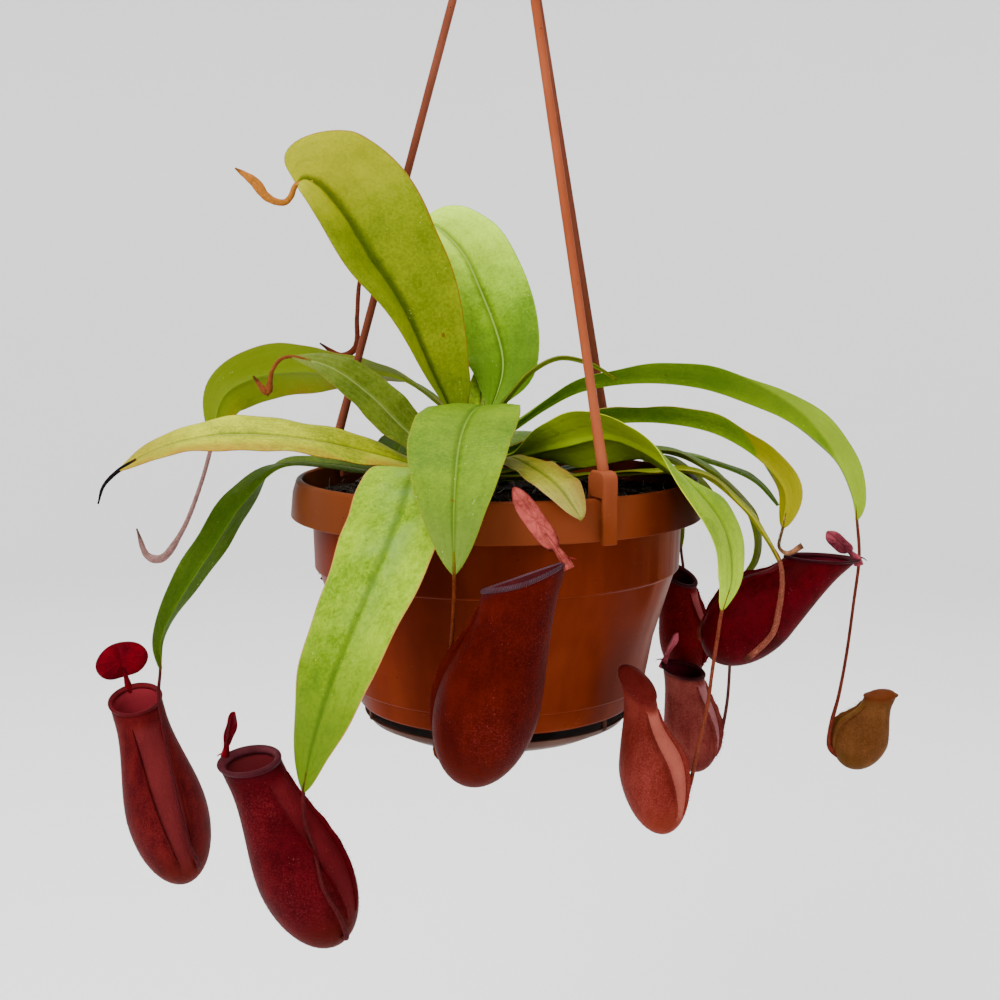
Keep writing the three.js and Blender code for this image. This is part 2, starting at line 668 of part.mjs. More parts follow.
// Pitchers, each on the tendril of its leaf. Base and mouth are the ends of the trap's axis, facing
// is the heading of its winged front, and slant leans the opening towards that front. The lid has
// its length and width, opens by an angle from the mouth's plane, and can roll about its length.
const pitchers = {
  long_left: {
    tendril: [[120, -81], [119, -92, 1], [117, -105], [113, -125, -3], [110, -139, -2],
      [108, -149, 4]], base: [114, -159, 13], mouth: [131, -86, 13], facing: 25, belly: 16.2,
    bellyAt: 0.38, throat: 10.2, lip: 2, slant: 18, lid: [15, 20], open: 100, finish: 'pitcherRed'
  },
  broad_front: {
    tendril: [[111, -95, -12], [111, -104, -16], [112, -114, -20], [109, -124, -24],
      [104, -133, -22]], base: [99, -139, -14], mouth: [114, -79, 8], facing: 60, belly: 15.3,
    bellyAt: 0.38, throat: 9.4, lip: 1.9, slant: 18, lid: [15, 6], open: 66, finish: 'pitcherRed'
  },
  middle_front: {
    tendril: [[101, -28, -10], [96, -42, -8], [89, -56, -5], [84, -68, -2], [86, -78, -1]],
    base: [95, -84, -12], mouth: [98, -18, -31], facing: 245, belly: 16, bellyAt: 0.38, throat: 11,
    lip: 1.9, slant: 38, lid: [24, 8], open: 72, roll: 50, finish: 'pitcherRed'
  },
  under_right: {
    tendril: [[88, -43, 6], [81, -49, 13], [78, -57, 17]], base: [81, -64, 17],
    mouth: [121, -28, 17], facing: 270, belly: 14, bellyAt: 0.4, throat: 9, lip: 1.5, slant: 45,
    lid: [12, 8], open: 40, finish: 'pitcherRed'
  },
  near_right: {
    tendril: [[97, -48, 3], [96, -58, 4], [95, -70, 5], [93, -84, 7], [90, -98, 7], [86, -110, 8]],
    base: [82, -116, 9], mouth: [73, -65, 13], facing: 40, belly: 12, bellyAt: 0.42, throat: 5.5,
    lip: 0, slant: 45, finish: 'pitcherBrick'
  },
  long_right: {
    tendril: [[145, -34, 1], [143, -52, 2], [140, -72, 4], [137, -88, 5], [134, -99, 6],
      [134, -108, 6]], base: [141, -116, 6], mouth: [153, -88, 7], facing: 270, belly: 10.4,
    bellyAt: 0.44, throat: 5.5, lip: 0, slant: 25, finish: 'pitcherOlive'
  },
  low_back_right: {
    tendril: [[99, -50, 6], [99, -64, 5], [98, -78, 5], [98, -86, 6]], base: [96, -90, 12],
    mouth: [89, -46, 12], facing: 60, belly: 10, bellyAt: 0.4, throat: 7.4, lip: 1.4, slant: 30,
    lid: [13, 10], open: 95, finish: 'pitcherRed'
  },
  back_right: {
    tendril: [[105, -60, 6], [104, -72, 7], [104, -84, 7], [103, -98, 7], [100, -111, 7],
      [97, -118, 6]], base: [91, -124, 5], mouth: [85, -82, 3], facing: 60, belly: 11, bellyAt: 0.4,
    throat: 8, lip: 1.4, slant: 20, lid: [11, 10], open: 80, finish: 'pitcherRed'
  },
  middle_back: {
    tendril: [[97, -48], [96, -62], [96, -76], [98, -86], [101, -92]], base: [107, -96],
    mouth: [113, -46], facing: 352, belly: 11, bellyAt: 0.38, throat: 8.6, lip: 1.6, slant: 20,
    lid: [13, 11], open: 95, finish: 'pitcherRed'
  },
  low_back_left: {
    tendril: [[96, -44, -3], [94, -62, -6], [92, -79, -10], [90, -92, -14]], base: [92, -100, -22],
    mouth: [96, -56, -19], facing: 100, belly: 10, bellyAt: 0.38, throat: 7.6, lip: 1.5, slant: 20,
    lid: [9, 8], open: 60, finish: 'pitcherRed'
  }
};

// Tendrils with no pitcher: small buds that have not opened, and dried or cut ends
const tendrils = {
  tall_front: {
    name: 'bud', stations: [[69, 100], [71, 98], [74, 98], [78, 100], [82, 105], [89, 110]],
    radii: [0.8, 1, 1.1, 1.3, 1.9, 1.6, 0.5], finish: 'budBrown'
  },
  tall_back: {
    name: 'bud',
    stations: [[76, 74, -19], [77, 57, -21], [77, 44, -22], [80, 41, -27], [83, 46, -35]],
    radii: [0.8, 0.8, 0.9, 0.9, 1.4, 0.5], finish: 'budBrown'
  },
  arch_left: {
    name: 'bud',
    stations: [[143, -14, -8], [150, -34, -13], [159, -46, -17], [164, -45, -20], [167, -33, -23]],
    radii: [0.9, 0.9, 0.9, 1, 1.8, 0.6], finish: 'budBrown'
  },
  short_left: {
    name: 'bud', stations: [[73, 42], [76, 38], [77, 34], [78, 30], [83, 36]],
    radii: [0.7, 0.7, 0.8, 0.9, 1.4, 0.5], finish: 'budBrown'
  },
  level_left: {
    name: 'dry_tip', stations: [[134, 1], [136, -5]], radii: [0.7, 0.6, 0.4], finish: 'leafDark'
  },
  cut_right: {
    name: 'cut_tendril', stations: [[108, -34, 13], [107, -43, 17], [105, -51, 19], [96, -61, 19]],
    radii: [0.9, 1.2, 1.3, 1.3], finish: 'budBrown'
  },
  twisted_right: {
    name: 'dry_tendril', stations: [[107, -24], [110, -26], [115, -23]], radii: [0.7, 0.8, 1, 1.2],
    finish: 'budBrown'
  }
};

const stemCurve = new THREE.LineCurve3(
  crownCentre.clone().setZ(stemFoot), crownCentre.clone().setZ(stemTop));
const crownPieces = [rod(stemCurve, [stemRadius, stemRadius, stemRadius - 1.5], 4, 12)];

for (const [name, leaf] of Object.entries(leaves)) {
  const length = route(leaf.heading, leaf.arch).getLength();
  crownPieces.push(makeBlade(leaf, 0, clasp / length, 1, [-1, 0, 1]));
  const steps = Math.round(length / 22) + 3;
  const blade = makeBlade(leaf, (clasp + gap) / length, 1, steps, [-1, -0.5, 0, 0.5, 1]);
  add(`leaf_${name}`, blade, leaf.finish);
}
for (const [name, pitcher] of Object.entries(pitchers)) {
  add(`pitcher_${name}`, makePitcher(leaves[name], pitcher), pitcher.finish);
}
for (const [name, tendril] of Object.entries(tendrils)) {
  const curve = tendrilCurve(leaves[name], tendril.stations);
  add(`${tendril.name}_${name}`, rod(curve, tendril.radii, 9, tendrilSides), tendril.finish);
}

add('pot', makePot(), 'potPlastic');
add('saucer', makeSaucer(), 'saucerPlastic');
add('soil', makeSoil(), 'soil');
add('hanger', makeHanger(), 'hangerPlastic');
add('crown', join(crownPieces), 'stem');

const whole = new THREE.Group();
whole.add(plant);
plant.position.set(-apex.x, -apex.y, -(apex.z + neckHeight + 2 * hookRadius - hookRodRadius));

export default whole;
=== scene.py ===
# Hanging pitcher plant: a tropical pitcher plant in a plastic hanging pot with a clip-on saucer.
# Lengths in the tables are millimetres, and heights are measured from the top of the pot's rim.
import random
from bisect import bisect
from functools import partialmethod
from math import atan2, cos, exp, log, pi, radians, sin, sqrt, tan

import bmesh
import bpy
from mathutils import Matrix, Vector


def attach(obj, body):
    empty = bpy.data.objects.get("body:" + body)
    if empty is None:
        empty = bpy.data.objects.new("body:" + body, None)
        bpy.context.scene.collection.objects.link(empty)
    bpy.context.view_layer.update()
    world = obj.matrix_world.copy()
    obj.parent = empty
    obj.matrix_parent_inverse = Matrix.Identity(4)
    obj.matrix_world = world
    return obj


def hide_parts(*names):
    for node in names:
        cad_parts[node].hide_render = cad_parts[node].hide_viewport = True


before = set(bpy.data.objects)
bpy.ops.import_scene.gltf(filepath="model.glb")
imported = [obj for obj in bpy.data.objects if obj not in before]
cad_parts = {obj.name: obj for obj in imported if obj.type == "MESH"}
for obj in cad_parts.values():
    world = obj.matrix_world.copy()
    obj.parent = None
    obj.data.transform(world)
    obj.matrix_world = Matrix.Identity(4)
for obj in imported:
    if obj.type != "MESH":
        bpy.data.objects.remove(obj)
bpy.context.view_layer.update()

print("frame loaded")

millimetre = 0.001
rimPlace = Vector((-3, 0, -275.1))  # the rim's centre in the frame, whose origin is inside the hook
toFrame = Matrix.Scale(millimetre, 4) @ Matrix.Translation(rimPlace)
crownCentre = Vector((-5, 0, 0))
chance = random.Random(7)
vary = chance.uniform


# Small helpers for numbers and directions

def mixed(a, b, share):
    return a + (b - a) * share


def smooth(low, high, x):
    share = min(1, max(0, (x - low) / (high - low)))
    return share * share * (3 - 2 * share)


def blendStops(stops, share):
    place = min(1, max(0, share)) * (len(stops) - 1)
    i = min(int(place), len(stops) - 2)
    return mixed(stops[i], stops[i + 1], smooth(0, 1, place - i))


def shares(steps):  # evenly spaced stops from 0 to 1
    return [i / steps for i in range(steps + 1)]


def turns(count):  # the angles of evenly spaced points round a ring
    return [2 * pi * k / count for k in range(count)]


def polar(radius, angle, height):
    return Vector((radius * cos(angle), radius * sin(angle), height))


def upright(height):
    return Vector((0, 0, height))


def outward(heading):  # 0 is the front, 90 the right, 180 the back and 270 the left
    angle = radians(heading)
    return Vector((sin(angle), -cos(angle), 0))


def rightHand(heading):
    return outward(heading).cross(upright(1))


def place(heading, station):
    reach, height, sway = (*station, 0)[:3]
    return crownCentre + (outward(heading) * reach + rightHand(heading) * sway) + upright(height)


def squared(direction, along):  # the part of a direction that lies across another one
    return (direction - along * direction.dot(along)).normalized()


def jitter(amount):
    return Vector([vary(-amount, amount) for _ in range(3)])


def strayed(direction, amount):
    return (direction + jitter(amount)).normalized()


class Route:
    # A smooth curve through points, read by the share of its length
    def __init__(self, points, pieces=16):
        whole = [points[0] * 2 - points[1], *points, points[-1] * 2 - points[-2]]
        self.dots = [points[0].copy()]
        for i in range(len(points) - 1):
            a, b, c, d = whole[i:i + 4]
            before, here, after = [max((q - p).length, 1e-6) ** 0.5 for p, q in ((a, b), (b, c), (c, d))]
            leave = ((b - a) / before - (c - a) / (before + here) + (c - b) / here) * here
            arrive = ((c - b) / here - (d - b) / (here + after) + (d - c) / after) * here
            for k in range(1, pieces + 1):
                f = k / pieces
                self.dots.append(
                    b * (2 * f ** 3 - 3 * f ** 2 + 1) + leave * (f ** 3 - 2 * f ** 2 + f)
                    + c * (3 * f ** 2 - 2 * f ** 3) + arrive * (f ** 3 - f ** 2))
        self.marks = [0]
        for p, q in zip(self.dots, self.dots[1:]):
            self.marks.append(self.marks[-1] + (q - p).length)
        self.length = self.marks[-1]

    def at(self, share):
        goal = min(1, max(0, share)) * self.length
        i = min(bisect(self.marks, goal), len(self.marks) - 1)
        here, there = self.marks[i - 1:i + 1]
        return self.dots[i - 1].lerp(self.dots[i], (goal - here) / (there - here))

    def along(self, share):
        return (self.at(share + 0.004) - self.at(share - 0.004)).normalized()


# Shapes

def wrap(bm, rows, around=None, paint=0):
    # Adds a closed skin. A row is a share of the length and a ring, or a point that closes an end.
    count = len(rows[1][1])
    around = around or shares(count)
    made = bmesh.ops.create_grid(bm, x_segments=count, y_segments=len(rows) - 1, size=1)["verts"]
    layer = bm.loops.layers.uv.get("sheet") or bm.loops.layers.uv.new("sheet")
    spots = {}
    for i, vert in enumerate(made):
        row, column = divmod(i, count + 1)
        share, ring = rows[row]
        vert.co = ring if isinstance(ring, Vector) else ring[column % count]
        spots[vert] = (share, around[column])
    for face in {face for vert in made for face in vert.link_faces}:
        face.material_index = paint
        for loop in face.loops:
            loop[layer].uv = spots[loop.vert]
    bmesh.ops.remove_doubles(bm, verts=made, dist=1e-6)


def ringAround(centre, first, second, radius, sides):
    return [centre + first * (radius * cos(angle)) + second * (radius * sin(angle))
            for angle in turns(sides)]


def addTube(bm, route, radii, steps, sides, paint=0, roughen=0):
    # Adds a round rod with closed ends along a route, with its radius read from stops
    normal = route.along(0).orthogonal().normalized()
    rows = [(0, route.at(0))]
    for share in shares(steps):
        along = route.along(share)
        normal = squared(normal, along)
        radius = blendStops(radii, share) * (1 + roughen * vary(-1, 1))
        rows.append((share, ringAround(route.at(share), normal, along.cross(normal), radius, sides)))
    wrap(bm, [*rows, (1, route.at(1))], None, paint)


def addHairs(bm, hairs, paint):
    # Adds slim three-sided hairs: each seat is a small triangle whose middle is drawn out to a tip
    seats, tips = [], {}
    for root, direction, length, radius in hairs:
        first = direction.orthogonal().normalized() * radius
        corners = [bm.verts.new(dot) for dot in ringAround(root, first, direction.cross(first), 1, 3)]
        seats.append(bm.faces.new(corners))
        seats[-1].material_index = paint
        tips[corners[0]] = root + direction * length
    for middle in bmesh.ops.poke(bm, faces=seats)["verts"]:
        for edge in middle.link_edges:
            middle.co = tips.get(edge.other_vert(middle), middle.co)


def spun(profile, steps):
    # A profile of radius and height turned round the pot's axis
    bm = bmesh.new()
    dots = [bm.verts.new((radius, 0, height)) for radius, height in profile]
    lines = [bm.edges.new(pair) for pair in zip(dots, dots[1:])]
    bmesh.ops.spin(
        bm, geom=dots + lines, axis=(0, 0, 1), cent=(0, 0, 0), angle=2 * pi, steps=steps, use_merge=True)
    bmesh.ops.remove_doubles(bm, verts=bm.verts, dist=1e-4)
    return bm


def linked(name, data):
    thing = bpy.data.objects.new(name, data)
    bpy.context.collection.objects.link(thing)
    return thing


def makeObject(name, bm, paints, place=Matrix()):
    bmesh.ops.recalc_face_normals(bm, faces=bm.faces)
    bmesh.ops.transform(bm, matrix=place, verts=bm.verts)
    mesh = bpy.data.meshes.new(name)
    bm.to_mesh(mesh)
    bm.free()
    mesh.shade_smooth()
    for paint in paints:
        mesh.materials.append(paint.material)
    return linked(name, mesh)


def makePiece(name, bm, paints, sharp=None):
    # Turns a finished shape into a piece of the plant that stands for the node of its name
    piece = makeObject(name, bm, paints, toFrame)
    if sharp:
        piece.data.set_sharp_from_angle(angle=radians(sharp))
    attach(piece, "root")
    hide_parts(name)
    return piece


# Materials

def daylight(colour):  # a colour as a camera writes it
    return (*[(c / 255) ** 2.2 for c in colour], 1)


class Value:
    # One output of a material's nodes, so that shader maths reads like a sum
    def __init__(self, paint, socket):
        self.paint = paint
        self.socket = socket

    def maths(self, operation, other=0):
        return self.paint.add("ShaderNodeMath", {"operation": operation}, {0: self, 1: other})

    __add__ = __radd__ = partialmethod(maths, "ADD")
    __sub__ = partialmethod(maths, "SUBTRACT")
    __mul__ = partialmethod(maths, "MULTIPLY")
    __truediv__ = partialmethod(maths, "DIVIDE")
    __pow__ = partialmethod(maths, "POWER")
    size = partialmethod(maths, "ABSOLUTE")
    part = partialmethod(maths, "FRACT")

    def ripple(self):  # a wave between 0 and 1
        return self.maths("SINE") * 0.5 + 0.5

    def between(self, low, high):  # eases from 0 at low to 1 at high
        return self.paint.add(
            "ShaderNodeMapRange", {"interpolation_type": "SMOOTHSTEP"}, {0: self, 1: low, 2: high})


class Paint:
    # A procedural material whose tones are colours by name
    def __init__(self, name, shine, tones):
        self.material = bpy.data.materials.new(name)
        self.material.use_nodes = True
        self.tree = self.material.node_tree
        self.shader = self.tree.nodes["Principled BSDF"]
        self.shader.inputs["Specular IOR Level"].default_value = shine
        self.tones = tones

    def add(self, kind, settings, inputs, output=0):
        node = self.tree.nodes.new(kind)
        for name, value in settings.items():
            setattr(node, name, value)
        for socket, value in inputs.items():
            self.feed(node.inputs[socket], value)
        return Value(self, node.outputs[output])

    def feed(self, socket, value):
        if isinstance(value, Value):
            self.tree.links.new(value.socket, socket)
        else:
            socket.default_value = value

    def spot(self):  # where a point is, in metres
        return self.add("ShaderNodeTexCoord", {}, {}, "Object")

    def axis(self, name):
        return self.add("ShaderNodeSeparateXYZ", {}, {0: self.spot()}, name)

    def sheet(self):  # the two shares that a piece carries along and around itself
        uv = self.add("ShaderNodeUVMap", {"uv_map": "sheet"}, {})
        return [self.add("ShaderNodeSeparateXYZ", {}, {0: uv}, name) for name in "XY"]

    def noise(self, scale, detail=3, rough=0.55, tall=1, warp=0):  # below 1, tall draws it out upwards
        spot = self.add("ShaderNodeVectorMath", {"operation": "MULTIPLY"}, {0: self.spot(), 1: (1, 1, tall)})
        return self.add("ShaderNodeTexNoise", {}, {
            "Vector": spot, "Scale": scale, "Detail": detail, "Roughness": rough, "Distortion": warp})

    def cells(self, scale):
        return self.add("ShaderNodeTexVoronoi", {}, {"Vector": self.spot(), "Scale": scale})

    def tone(self, colour):
        colour = self.tones[colour] if isinstance(colour, str) else colour
        return colour if isinstance(colour, Value) else daylight(colour)

    def blend(self, share, first, second):
        return self.add(
            "ShaderNodeMix", {"data_type": "RGBA"}, {0: share, 6: self.tone(first), 7: self.tone(second)}, 2)

    def layers(self, colour, *coats):
        # Lays coats of a share and a colour over the first one, and skips a name that has no tone
        for share, coat in coats:
            if not isinstance(coat, str) or coat in self.tones:
                colour = self.blend(share, colour, coat)
        return colour

    def finish(self, colour, rough, relief, depth):
        bump = self.add("ShaderNodeBump", {}, {"Height": relief, "Distance": depth * millimetre, "Strength": 1})
        for socket, value in (("Base Color", colour), ("Roughness", rough), ("Normal", bump)):
            self.feed(self.shader.inputs[socket], value)
        return self


leafLooks = {
    "yellow": dict(dark=(84, 100, 6), light=(130, 142, 14), base=(74, 98, 10), tip=(152, 150, 16),
        under=(110, 120, 14), rib=(44, 60, 2), margin=(130, 80, 30), mottle=0.35, groove=0.8),
    "light": dict(dark=(76, 110, 8), light=(142, 168, 22), base=(50, 86, 8), tip=(84, 108, 30),
        under=(92, 124, 12), rib=(46, 74, 10), margin=(176, 140, 80), mottle=0.65, groove=0.55),
    "green": dict(dark=(50, 74, 10), light=(94, 116, 24), base=(40, 70, 8), tip=(96, 108, 40),
        under=(94, 108, 10), rib=(130, 150, 70), margin=(120, 100, 46), mottle=0.5, groove=0.3),
    "dark": dict(dark=(54, 74, 10), light=(100, 122, 34), base=(30, 50, 4), tip=(118, 134, 80),
        under=(54, 80, 10), rib=(40, 66, 12), margin=(84, 96, 40), mottle=0.6, groove=0.4)
}


def paintLeaf(name, leaf, length):
    # Mottled green over a darker start, a grooved rib, faint veins, a painted sky reflection beside the rib,
    # pale specks and a thin margin
    look = {**leafLooks[leaf["look"]], **leaf}
    paint = Paint(f"leaf {name}", 0.05, look)
    t, v = paint.sheet()
    signed = v.part() * 2 - 1  # -1 at one margin and 1 at the other, turned about on the underside
    across = signed.size()
    patches = paint.noise(46, 3, 0.6)
    blots = paint.noise(210, 4, 0.7, warp=0.4)
    grain = paint.noise(900, 3, 0.7)
    mottle = look["mottle"]
    shade = (patches - 0.5) * (0.2 + 0.3 * mottle) + (blots - 0.5) * (0.26 * mottle)
    shade = (shade + (grain - 0.5) * 0.3 + 0.5).between(0.36, 0.65)
    rise, full, start, end = leaf["ramp"]
    foot, far = t.between(full, rise), t.between(start, end)
    sideVeins = (t * length * 0.9 + across * 3.2 + patches * 2).ripple() ** 4
    longVeins = (across * 17 + patches * 3).ripple() ** 4
    # a painted reflection of the sky beside the rib, in the haze tone
    skySheen = patches.between(0.42, 0.62) * across.between(0.75, 0.1) * t.between(0.15, 0.4)
    skySheen = skySheen * t.between(0.8, 0.5)
    groove = (across + (blots - 0.5) * 0.05).between(0.15, 0.01)
    top = paint.layers(
        "dark", (shade, "light"), (foot * 0.85, "base"), (far * (0.55 + shade * 0.4), "tip"),
        (longVeins * 0.07 + sideVeins * 0.05, "rib"), (skySheen * 0.6, "hazeAndSheen"), (groove * look["groove"], "rib"),
        (across.between(0.03, 0.008) * 0.4, "line"))
    side, start, end = leaf["turn"]
    turned = (signed * side + (t - start) * (2.6 / (end - start))).between(1.24, 1.42)
    below = paint.layers(
        "under", (shade * 0.4, "light"), (foot * 0.75, "base"), (across.between(0.05, 0.015) * 0.5, "light"),
        (turned * (0.75 + shade * 0.25), "turned"))
    tinge = (signed * leaf["blushSide"]).between(0.2, 1) * patches.between(0.35, 0.6)
    edge = (across + (blots - 0.5) * 0.03).between(0.962, 0.996)
    specks = paint.cells(620).between(0.14, 0.07) * paint.noise(130).between(0.52, 0.66)
    scars = paint.noise(240, 3).between(0.73, 0.78)
    colour = paint.layers(
        top, (v.between(0.999, 1.001), below), ((tinge + blots.between(0.56, 0.72) * 0.2) * 0.65, "blush"),
        (edge * 0.7, "margin"), (specks * 0.6, (190, 200, 120)), (scars * 0.8, (96, 56, 18)))
    rough = 0.4 + patches * 0.12 + blots * 0.12 - specks * 0.1
    relief = blots * 0.5 + grain * 0.25 - sideVeins * 0.1 - longVeins * 0.15
    return paint.finish(colour, rough, relief, 0.5)


pitcherLooks = {
    "red": dict(dark=(54, 6, 8), light=(84, 16, 18), panel=(84, 24, 28), foot=(72, 22, 12), inside=(96, 24, 34),
        lip=(44, 12, 20), rim=(88, 42, 48), lid=(110, 10, 28)),
    # the deep look's very dark lip and rim are partly their own colour and partly painted shade
    "deep": dict(dark=(46, 0, 6), light=(80, 8, 20), panel=(84, 24, 30), foot=(56, 6, 12), inside=(70, 16, 28),
        lip=(36, 4, 12), rim=(60, 16, 26), lid=(160, 72, 86)),
    "brick": dict(dark=(86, 28, 22), light=(114, 47, 40), panel=(168, 90, 76), foot=(104, 40, 24),
        inside=(96, 24, 34), lip=(72, 14, 18), rim=(96, 24, 30), lid=(96, 20, 20)),
    "olive": dict(dark=(68, 42, 20), light=(94, 60, 32), panel=(88, 62, 16), foot=(68, 44, 10),
        inside=(100, 60, 24), lip=(84, 36, 18), rim=(110, 60, 34), lid=(96, 64, 40))
}


def paintTrap(name, look, sheenAmount):
    # Blotched wall, a panel between the wings, a painted velvet sheen where the light falls, and another colour
    # inside that darkens to painted shade deep down
    paint = Paint(f"trap {name}", 0.015, look)
    s, v = paint.sheet()
    turn = (v.part() - 0.5).size() * 2  # 1 at the winged front, 0 at the back
    blotches = paint.noise(80, 4, 0.65)
    grain = paint.noise(1700, 3, 0.7)
    veins = paint.noise(300, 3, 0.6, 0.2)
    panel = (turn + (0.2 + (s - 0.16) * 0.47) / pi - 1).between(-0.012, 0.012)
    panel = panel * s.between(0.08, 0.16) * s.between(0.95, 0.88)
    # a painted velvet sheen: pale grain on the lit part of the belly
    velvetSheen = grain.between(0.45, 0.7) * paint.noise(20, 2).between(0.35, 0.6)
    velvetSheen = velvetSheen * s.between(0.12, 0.3) * s.between(0.97, 0.8)
    dust = paint.cells(900).between(0.14, 0.06) * paint.noise(200).between(0.52, 0.64)
    colour = paint.layers(
        "dark", ((blotches * 0.4 + veins * 0.25 + grain * 0.35).between(0.34, 0.66), "light"),
        (panel * (0.4 + blotches * 0.6), "panel"), (s.between(0.3, 0.02) * 0.6, "foot"),
        (s.between(0.93, 1) * 0.6, "lip"), (velvetSheen * sheenAmount, (146, 62, 66)), (dust * 0.5, (170, 90, 80)),
        # deeper inside the trap its colour turns to a painted shade, near black
        (s.between(1.04, 1.08), "inside"), (s.between(1.3, 1.8), (22, 2, 5)))
    rough = 0.3 + blotches * 0.2 + grain * 0.14
    return paint.finish(colour, rough, grain * 0.5 + veins * 0.6 + blotches * 1.2, 0.3)


def paintLip(name, look):
    # Ribbed across, dark on its outer side and paler towards the throat
    paint = Paint(f"lip {name}", 0.04, look)
    s, v = paint.sheet()
    ribs = (v * 2 * pi * 128).ripple()
    blotches = paint.noise(200, 3)
    inner = (s - 0.36).size().between(0.16, 0.04)
    colour = paint.layers(
        "lip", (ribs * 0.4 + blotches * 0.2, "rim"), (inner * 0.7, "rim"),
        (blotches.between(0.4, 0.7) * 0.4, "dark"))
    return paint.finish(colour, 0.34 + blotches * 0.2, ribs + blotches * 0.4, 0.12)


def paintLid(name, look):
    paint = Paint(f"lid {name}", 0.02, look)
    r, v = paint.sheet()
    reach = paint.noise(150, 3, 0.6)
    grain = paint.noise(1100, 3, 0.7)
    veins = (v * 2 * pi * 9 + reach * 5).ripple() ** 4
    colour = paint.layers(
        "lid", ((reach * 0.7 + grain * 0.3).between(0.36, 0.66) * 0.7, "dark"), (veins * 0.2, "light"),
        (r.between(0.86, 1) * 0.5, "dark"))
    return paint.finish(colour, 0.4 + reach * 0.25, grain * 0.4 + veins * 0.5 + reach, 0.3)


def paintTendril(name, start, end, fuzz, full):
    # Runs from the leaf's colour into its own, with a fine fuzz
    paint = Paint(f"tendril {name}", 0.03, {})
    share = paint.sheet()[0]
    streaks = paint.noise(500, 3, 0.6)
    grain = paint.noise(2600, 2, 0.6)
    darker, darkest = [[c * part for c in end] for part in (0.55, 0.4)]
    paler = [min(255, c * 1.5 + 20) for c in end]
    colour = paint.layers(
        start, ((share + streaks * 0.1).between(full - 0.16, full), end),
        (streaks.between(0.4, 0.75) * 0.5, darker), (grain.between(0.52, 0.7) * fuzz, paler),
        ((share + streaks * 0.06).between(0.93, 1) * 0.75, darkest))
    return paint.finish(colour, 0.5 + streaks * 0.25, grain + streaks * 0.6, 0.16)


def paintHair(name, first, second):
    paint = Paint(f"hair {name}", 0.03, {})
    wear = paint.noise(260, 2)
    colour = paint.blend(wear.between(0.35, 0.65), first, second)
    return paint.finish(colour, 0.6 + wear * 0.2, wear, 0.05)


def paintPlastic(name, rough, tones):
    # Moulded plastic: soft upright flow streaks, fine grain, scuffs and haze, painted light and shade on the
    # rim, clips and back rods, and a painted sheen on its right side
    paint = Paint(name, 0.025, tones)
    side, height = paint.axis("X"), paint.axis("Z")
    streaks = paint.noise(60, 4, 0.6, 0.12)
    clouds = paint.noise(16, 3)
    grain = paint.noise(1500, 2, 0.6)
    scuffs = paint.noise(180, 4, 0.7, 3, 0.6).between(0.62, 0.72)
    colour = paint.layers(
        "dark", ((streaks * 0.5 + clouds * 0.7 - 0.1).between(0.3, 0.75), "light"),
        (height.between(-0.255, -0.272) * 0.85, "low"),  # painted shade on the clips where they hold the rim
        (paint.axis("Y").between(0, 0.012) * 0.9, "far"))  # painted shade on the rods behind
    if "rim" in tones:  # a painted highlight along the rim, turning to painted shadow towards its right end
        band = height.between(-0.2892, -0.2884) * 0.8
        paler = paint.blend(side.between(-0.02, -0.07), "rim", "rimLeftHighlight")
        colour = paint.layers(
            colour, (band * side.between(0.056, 0.03), paler), (band * side.between(0.048, 0.064), "rimRightShadow"))
    # a painted sheen in streaks down the right side, below the rim
    sideSheen = side.between(0.042, 0.064) * paint.noise(110, 3, 0.6, 0.06).between(0.42, 0.6)
    colour = paint.layers(
        colour, (clouds.between(0.5, 0.75) * 0.25 + scuffs * 0.15, "hazeAndSheen"),
        (sideSheen * height.between(-0.2884, -0.2892) * 0.7, "hazeAndSheen"),
        (paint.noise(520, 2).between(0.73, 0.77) * 0.8, (30, 14, 8)))
    rough = rough + streaks * 0.12 + scuffs * 0.12 + clouds * 0.06
    return paint.finish(colour, rough, grain * 0.25 + streaks * 0.7 + scuffs * 0.3, 0.12)


def paintSoil(name, dark, light):
    paint = Paint(name, 0.1, {})
    clods = paint.noise(240, 5, 0.7)
    grit = paint.cells(700)
    colour = paint.layers(
        dark, (clods.between(0.35, 0.75), light), (grit.between(0.12, 0.05) * 0.5, (120, 112, 98)))
    return paint.finish(colour, 0.85 + clods * 0.1, clods + grit * 0.6, 1.2)


def paintStem():
    paint = Paint("stem", 0.15, {})
    bands = paint.noise(220, 4, 0.6, 3)
    fibre = paint.noise(700, 3, 0.6, 0.2)
    colour = paint.layers(
        (96, 116, 30), (bands.between(0.35, 0.7), (92, 68, 34)),
        (paint.axis("Z").between(-0.262, -0.285), (58, 40, 26)))
    return paint.finish(colour, 0.5 + fibre * 0.3, bands + fibre, 0.5)


# Leaves. The arch gives the rib's route from the stem to the tip, each stop as reach, height and
# sway. Width, fold and twist shape the blade, and widest says how far along it the blade is widest.
# A blunt leaf has its tip rounded from that share of its length on. The ramp says where the start's
# colour ends and the tip's begins, and turn where the underside turns bright. Colours replace those
# of the leaf's look.
leafDefaults = dict(
    widest=0.5, fullness=0.6, fold=(10, 10), twist=[0, 0, 0], wave=0.5, look="light",
    ramp=(0.02, 0.38, 0.72, 0.96), blushSide=1, turn=(1, 0, 1))

